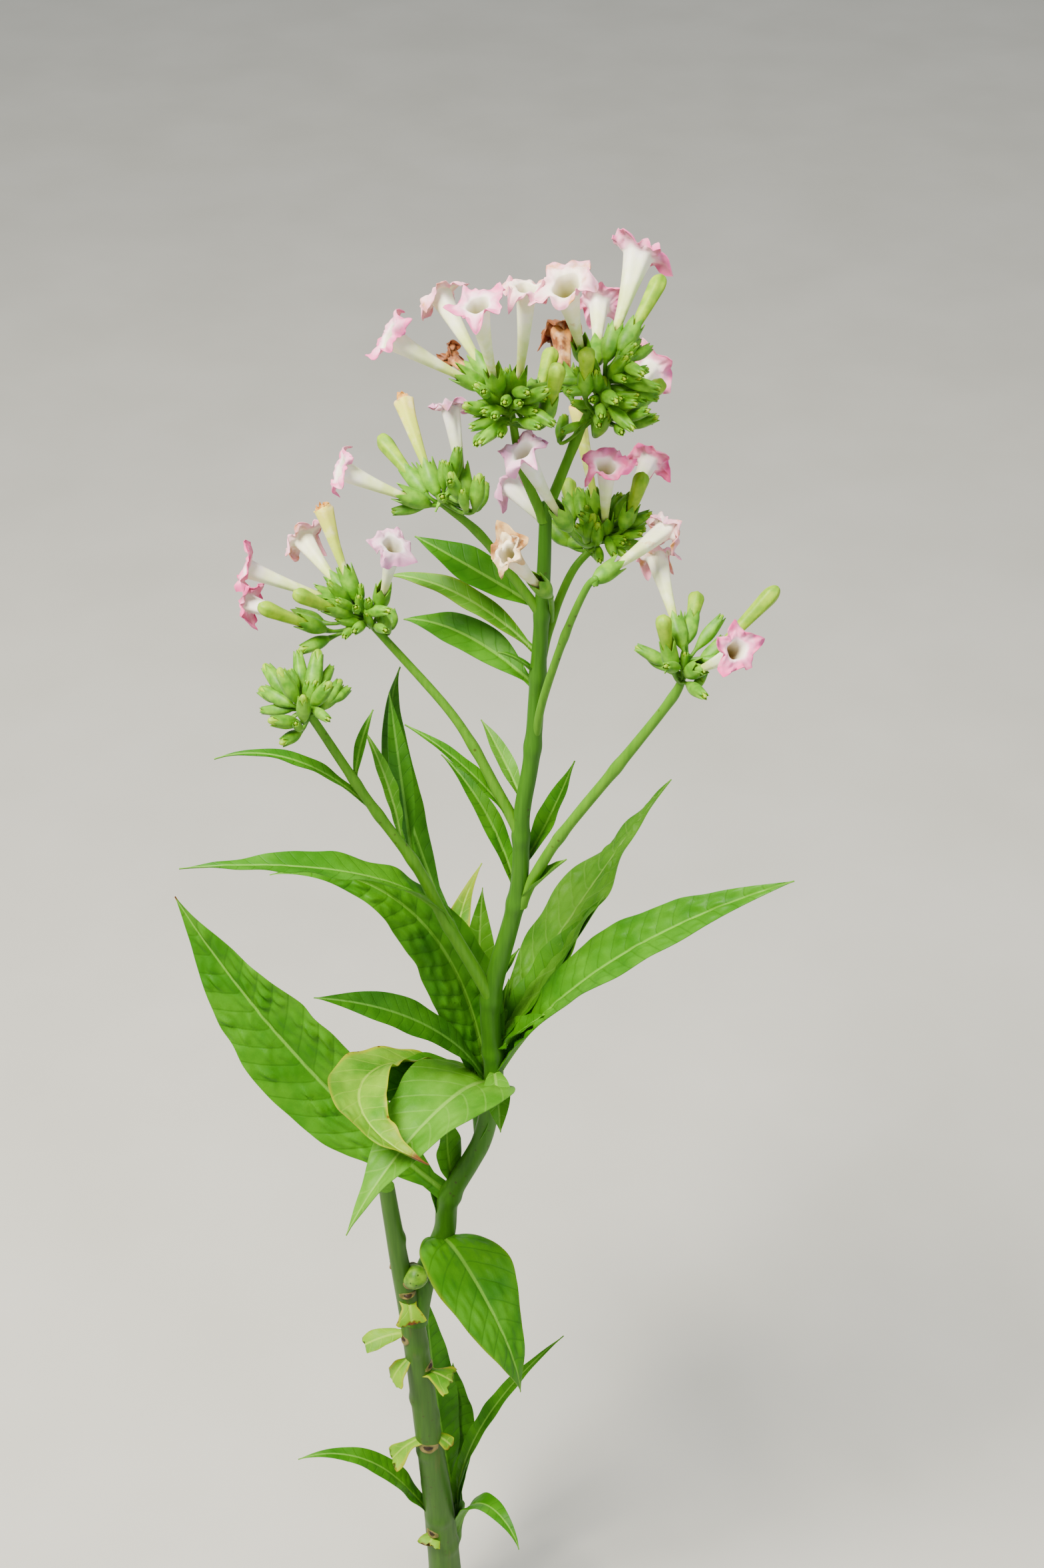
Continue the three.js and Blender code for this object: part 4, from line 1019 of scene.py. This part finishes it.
# Petal skins: fresh ones are pink or rose on the limb, cream ones are nearly white, mauve ones are
# old and seen from outside, shut ones are yellow with a tan crumpled rim, and withered and brown ones
# are dried. Each is its foot, tube, throat, limb and rim, its wear, and its stain.
PETAL_TONES = {
    "pink": ("#B9CC58", "#E9EDB4", "#FBF3E6", "#F8B4CF", "#E2649E", 0.02, "#C98A4A"),
    "rose": ("#B9CC58", "#E9EDB4", "#FBE8E6", "#F286B2", "#DA4A8C", 0.0, "#C98A4A"),
    "cream": ("#BCCE5C", "#ECEDB8", "#FBF2DC", "#F9DCD6", "#EC98B4", 0.2, "#C68A44"),
    "mauve": ("#C6D082", "#EDEDD0", "#F5E8E8", "#EDC0D6", "#D68AB6", 0.06, "#A87848"),
    "shut": ("#A5C022", "#C6D042", "#D8CC5A", "#DAAC52", "#C07C2C", 0.2, "#A4601C"),
    "withered": ("#C8CE84", "#EBE2C0", "#F1E2C8", "#EAD6B2", "#C8A066", 0.22, "#94622A"),
    "brown": ("#C8A060", "#C28A48", "#B87834", "#A8642A", "#84481C", 0.4, "#6A3A16"),
}
PETAL_SKINS = {tone: petal_skin(tone + "_petal", *colours) for tone, colours in PETAL_TONES.items()}

# Green tissue of the clusters, soft and a little downy: calyx, rolled petals of a bud, and stalk.
calyx_skin = tissue_skin("downy_calyx", "#427E04", "#6CA612", 0.03)
rolled_petal = tissue_skin("rolled_green_petal", "#6C9A02", "#94B80A", 0.02)
stalk_skin = tissue_skin("downy_stalk", "#3C7406", "#5C9216", 0.03)

# Forms of flower: the radius of the limb's rim and of the throat, the limb's lean from the axis at
# the throat and at the rim in degrees, the height of its ruffle, and how crumpled it is.
OPEN = dict(spread=12.8, throat=4.8, flare=(46, 108), ruffle=3.0)
LARGE = dict(spread=15.0, throat=6.1, flare=(34, 98), ruffle=3.4)
FOLDED_BACK = dict(spread=12.8, throat=4.9, flare=(44, 148), ruffle=3.2)
SHUT = dict(spread=8.5, throat=4.4, flare=(-20, -70), ruffle=1.0, crumple=0.35)
OLD = dict(spread=13.5, throat=5.4, flare=(30, 130), ruffle=2.4, crumple=0.8)
SHRUNK = dict(spread=8.0, throat=2.8, flare=(20, 60), ruffle=2.2, crumple=1.0)


def cluster(name, rachis, flowers=(), clubs=(), cups=(), buds=(), fill=(), bracts=()):
    """One cluster, along a short axis or rachis. A flower is (skin, form, foot, azimuth, elevation,
    length) and is a piece of its own in its calyx, and so is a club, a long bud. Cups are buds
    whose petals just show in the calyx, buds are smaller. Fill is (count, azimuth, elevation, spread
    of both) of buds set by dice along the axis, and bracts are (azimuth, elevation, length) of its
    small leaves. These, all calyces and all stalks are one joined piece."""
    axis = np.linspace(*np.array(rachis, float), 10)
    greens = [shell(rings_about(axis, np.linspace(1.8, 1.1, 10), 12), STALK_SLOT)]
    for number, (skin, form, foot, azimuth, elevation, length) in enumerate(flowers, 1):
        trumpet = corolla(foot, azimuth, elevation, length, dice_for(f"{name}{number}"), **form)
        piece(f"{name}_corolla_{number}", [trumpet], [PETAL_SKINS[skin]])
        greens.append(calyx(foot, azimuth, elevation))
        greens.append(stalk(rachis, foot, azimuth, elevation))
    for number, (foot, azimuth, elevation, length) in enumerate(clubs, 1):
        club = closed_tube(foot, azimuth, elevation, length, CLUB_RADIUS)
        piece(f"{name}_club_bud_{number}", [club], [rolled_petal])
        greens.append(calyx(foot, azimuth, elevation, min(CALYX_LENGTH, 0.6 * length), radius=4.0))
        greens.append(stalk(rachis, foot, azimuth, elevation))
    for foot, azimuth, elevation, length in cups:
        greens.append(calyx(foot, azimuth, elevation, 0.92 * length, 1.3 + 0.13 * length,
                            mouth=0.5, teeth=0.2))
        greens.append(closed_tube(foot, azimuth, elevation, length, 0.5 + 0.11 * length, ROLLED_SLOT,
                                  sag=0, pointed=0.3))
        greens.append(stalk(rachis, foot, azimuth, elevation))
    dice = dice_for(name)
    for count, azimuth, elevation, wide in fill:
        lift = np.maximum(dice.normal(elevation, 0.6 * wide, count), -10)
        aims = np.column_stack([dice.normal(azimuth, wide, count), lift])
        shares = dice.uniform(0, 1, count)[:, None]
        middles = np.array(rachis[0]) * (1 - shares) + np.array(rachis[1]) * shares
        feet = middles + way(*aims.T) * dice.uniform(3, 8, count)[:, None]
        lengths = dice.uniform(9, 19, count)
        buds = (*buds, *((foot, *aim, length) for foot, aim, length in zip(feet, aims, lengths)))
    for foot, azimuth, elevation, length in buds:
        greens.append(calyx(foot, azimuth, elevation, length, 1.1 + 0.12 * length, mouth=0.28, teeth=0.15))
        greens.append(closed_tube(foot, azimuth, elevation, 1.02 * length, 0.3 + 0.09 * length, ROLLED_SLOT,
                                  sag=0, pointed=0.5))
        greens.append(stalk(rachis, foot, azimuth, elevation))
    for azimuth, elevation, length in bracts:
        foot_height = dice.uniform(rachis[0][2], rachis[1][2])
        greens.append(blade({"points": list(rachis), "diameters": (2, 2)}, dice, foot_height, length, azimuth,
                            rise=elevation, droop=elevation - 60, width=0.2 * length, widest=0.4, neck=2,
                            fold=15, ruffle=0.4, wave=9, blister=0.1))
    for part in greens:
        part["marks"] = {}
    piece(name + "_greens", greens, [calyx_skin, rolled_petal, stalk_skin], [name])


# Left cluster, on the tip of the left bough: small green buds that are all still shut, upright on
# short stalks round the bough's tip.
cluster(
    "buds_left", ((-50, -21, 806), (-53, -22, 818)),
    cups=(
        ((-54, -26, 818), 163, 66, 20), ((-60, -20, 819), 126, 18, 20), ((-57, -24, 815), 144, 5, 20),
        ((-54, -26, 806), 215, 27, 18), ((-54, -24, 799), 236, 9, 15), ((-48, -20, 818), 80, 38, 23),
        ((-47, -26, 816), 343, 57, 19), ((-43, -22, 812), 63, 15, 19), ((-51, -31, 811), 285, 77, 18),
    ),
    buds=(
        ((-64, -18, 813), 137, -4, 14), ((-58, -22, 811), 163, -14, 16), ((-52, -16, 817), 101, 36, 21),
        ((-38, -18, 813), 60, -4, 14), ((-43, -14, 820), 75, 4, 14), ((-46, -30, 817), 309, 5, 13),
        ((-53, -30, 805), 256, 54, 10),
    ),
    fill=((5, 100, 60, 50),),
    bracts=((200, -10, 14), (20, 20, 12), (280, 0, 11)),
)


# Left flower cluster, on the upper left bough: two pink flowers to the left, a white and a shut one
# above, a pale one that faces right, and two long buds. Small buds fill its right side.
cluster(
    "flowers_left", ((-21, 23, 828), (-32, 25, 842)),
    flowers=(
        ("rose", OPEN, (-33, 24, 841), 183, 25, 50),
        ("rose", OPEN, (-45, 28, 827), 153, -2, 42),
        ("cream", FOLDED_BACK, (-31, 26, 842), 128, 20, 42),
        ("shut", SHUT, (-28, 22, 844), 126, 56, 46),
        ("mauve", FOLDED_BACK, (-17, 22, 839), 306, 71, 46),
    ),
    clubs=(((-30, 18, 838), 208, 37, 36), ((-43, 20, 828), 204, 35, 40)),
    cups=(((-13, 24, 824), 206, 69, 15), ((-11, 30, 824), 98, 6, 13), ((-42, 22, 822), 219, 1, 18)),
    buds=(
        ((-27, 14, 843), 270, 46, 9), ((-22, 20, 840), 278, 62, 10), ((-30, 18, 832), 249, -4, 10),
        ((-21, 18, 832), 234, 71, 9),
    ),
    fill=((9, 250, 30, 60),),
    bracts=((240, -10, 14), (20, 10, 12)),
)


# Middle left cluster, on the tip of its own thin bough: a white trumpet to the left, a tall shut
# flower, a fading one behind it, and a long bud.
cluster(
    "flowers_mid_left", ((15, -9, 916), (22, -11, 926)),
    flowers=(
        ("pink", FOLDED_BACK, (11, -12, 917), 186, 28, 44),
        ("shut", SHUT, (14, -12, 922), 114, 36, 48),
        ("mauve", OLD, (27, -10, 918), 103, 42, 44),
    ),
    clubs=(((9, -9, 921), 125, 18, 40),),
    cups=(((31, -15, 917), 9, 82, 18), ((24, -18, 924), 178, 74, 14), ((33, -10, 915), 78, 24, 14)),
    buds=(((27, -18, 918), 233, 76, 12),),
    fill=((8, 300, 50, 60),),
    bracts=((230, 0, 12), (60, 20, 12)),
)


# Withered flower: a single old one in front of the stem, on its own thin stalk. Its limb has dried
# and browned.
cluster(
    "flower_withered", ((65, -12, 868), (65, -13, 871)),
    flowers=(("withered", OLD, (65, -14, 870), 222, 53, 42),),
)


# Top left cluster, on the left fork: two open pink flowers, two pale ones that are folded back, and
# a shrunken brown one, with buds all round the middle.
cluster(
    "flowers_top_left", ((47, -7, 956), (47, -8, 972)),
    flowers=(
        ("pink", OPEN, (37, -8, 973), 189, 34, 50),
        ("cream", FOLDED_BACK, (40, -4, 972), 128, 36, 48),
        ("pink", OPEN, (42, -10, 971), 245, 69, 54),
        ("cream", FOLDED_BACK, (49, -6, 965), 3, 85, 54),
        ("brown", SHRUNK, (38, -2, 972), 127, 2, 28),
    ),
    clubs=(((56, -4, 958), 73, 26, 37), ((62, -8, 956), 305, 74, 34)),
    cups=(((37, -12, 965), 220, 25, 15), ((55, -2, 968), 81, -2, 12)),
    buds=(
        ((37, -16, 974), 259, 37, 10), ((41, -18, 966), 263, 21, 9), ((44, -12, 957), 263, 6, 11),
        ((33, -10, 951), 263, 4, 9),
    ),
    fill=((11, 180, 20, 50), (12, 300, 10, 50)),
    bracts=((200, 0, 14), (320, -10, 12), (90, 10, 12)),
)


# Top right cluster, on the right fork: the tallest flowers of the plant, pink and cream, a tan
# fading one, and a mass of buds below them.
cluster(
    "flowers_top_right", ((84, 12, 948), (90, 12, 972)),
    flowers=(
        ("cream", LARGE, (80, 12, 975), 248, 62, 54),
        ("pink", OPEN, (85, 18, 971), 87, 12, 42),
        ("pink", LARGE, (89, 12, 976), 69, 38, 52),
        ("pink", OPEN, (97, 20, 952), 68, -5, 38),
        ("brown", OLD, (74, 14, 957), 98, 24, 36),
    ),
    clubs=(
        ((95, 12, 980), 58, 31, 43), ((80, 6, 962), 272, 76, 27), ((98, 12, 954), 60, 2, 22),
        ((100, 16, 950), 53, 5, 27),
    ),
    cups=(
        ((94, 10, 978), 59, 3, 20), ((90, 8, 953), 183, 82, 18), ((85, 8, 941), 325, 65, 16),
        ((85, 12, 944), 101, 12, 13), ((69, 12, 937), 78, 26, 14),
    ),
    buds=(
        ((101, 14, 976), 53, 2, 14), ((96, 6, 978), 303, 6, 16), ((98, 8, 950), 318, 33, 16),
        ((99, 12, 944), 328, 29, 18), ((94, 4, 948), 283, 11, 10),
    ),
    fill=((19, 340, 15, 40), (10, 200, 20, 50)),
    bracts=((20, 0, 14), (300, -10, 13), (150, 10, 12)),
)


# Middle right cluster: two pink flowers, a shut one behind, and two mauve ones that lean out to the
# left, one of them across the front of the stem.
cluster(
    "flowers_mid_right", ((84, 22, 872), (92, 25, 884)),
    flowers=(
        ("rose", OPEN, (91, 24, 879), 267, 70, 50),
        ("rose", OPEN, (97, 28, 882), 68, 15, 44),
        ("shut", SHUT, (89, 28, 882), 113, 60, 56),
        ("mauve", FOLDED_BACK, (75, 30, 870), 132, 18, 46),
        ("mauve", FOLDED_BACK, (74, -6, 900), 204, 63, 52),
    ),
    clubs=(((99, 18, 886), 325, 73, 35), ((76, 30, 883), 95, 20, 26)),
    cups=(
        ((82, 20, 878), 317, 74, 18), ((87, 18, 877), 274, 78, 15), ((81, 28, 885), 97, 20, 20),
        ((86, 30, 881), 92, 46, 20),
    ),
    buds=(
        ((100, 22, 885), 337, 39, 17), ((98, 22, 881), 321, 22, 14), ((94, 20, 878), 300, 25, 12),
        ((88, 22, 867), 250, 64, 8),
    ),
    fill=((14, 330, 20, 60), (7, 180, 30, 50)),
    bracts=((30, 0, 13), (220, 0, 12)),
)


# Single flower: the only one on the light bough, old and pale. Its limb is crumpled, and faces away
# to the right.
cluster(
    "flower_single", ((85, -26, 884), (86, -26, 887)),
    flowers=(("cream", OLD, (84, -26, 885), 42, 12, 46),),
)


# Right cluster, on the right bough: a pink flower that faces the view, a pale fading one behind it,
# and three long buds among small ones.
cluster(
    "flowers_right", ((126, -29, 832), (129, -30, 848)),
    flowers=(
        ("cream", OLD, (126, -30, 852), 105, 30, 48),
        ("rose", OPEN, (128, -30, 837), 304, 44, 48),
    ),
    clubs=(((134, -30, 841), 25, 40, 52), ((122, -34, 841), 167, 78, 31), ((128, -26, 852), 77, 21, 29)),
    buds=(((118, -28, 839), 123, 1, 15), ((137, -32, 839), 217, -44, 11)),
    fill=((8, 250, 30, 60),),
    bracts=((200, 0, 14), (320, 10, 12)),
)
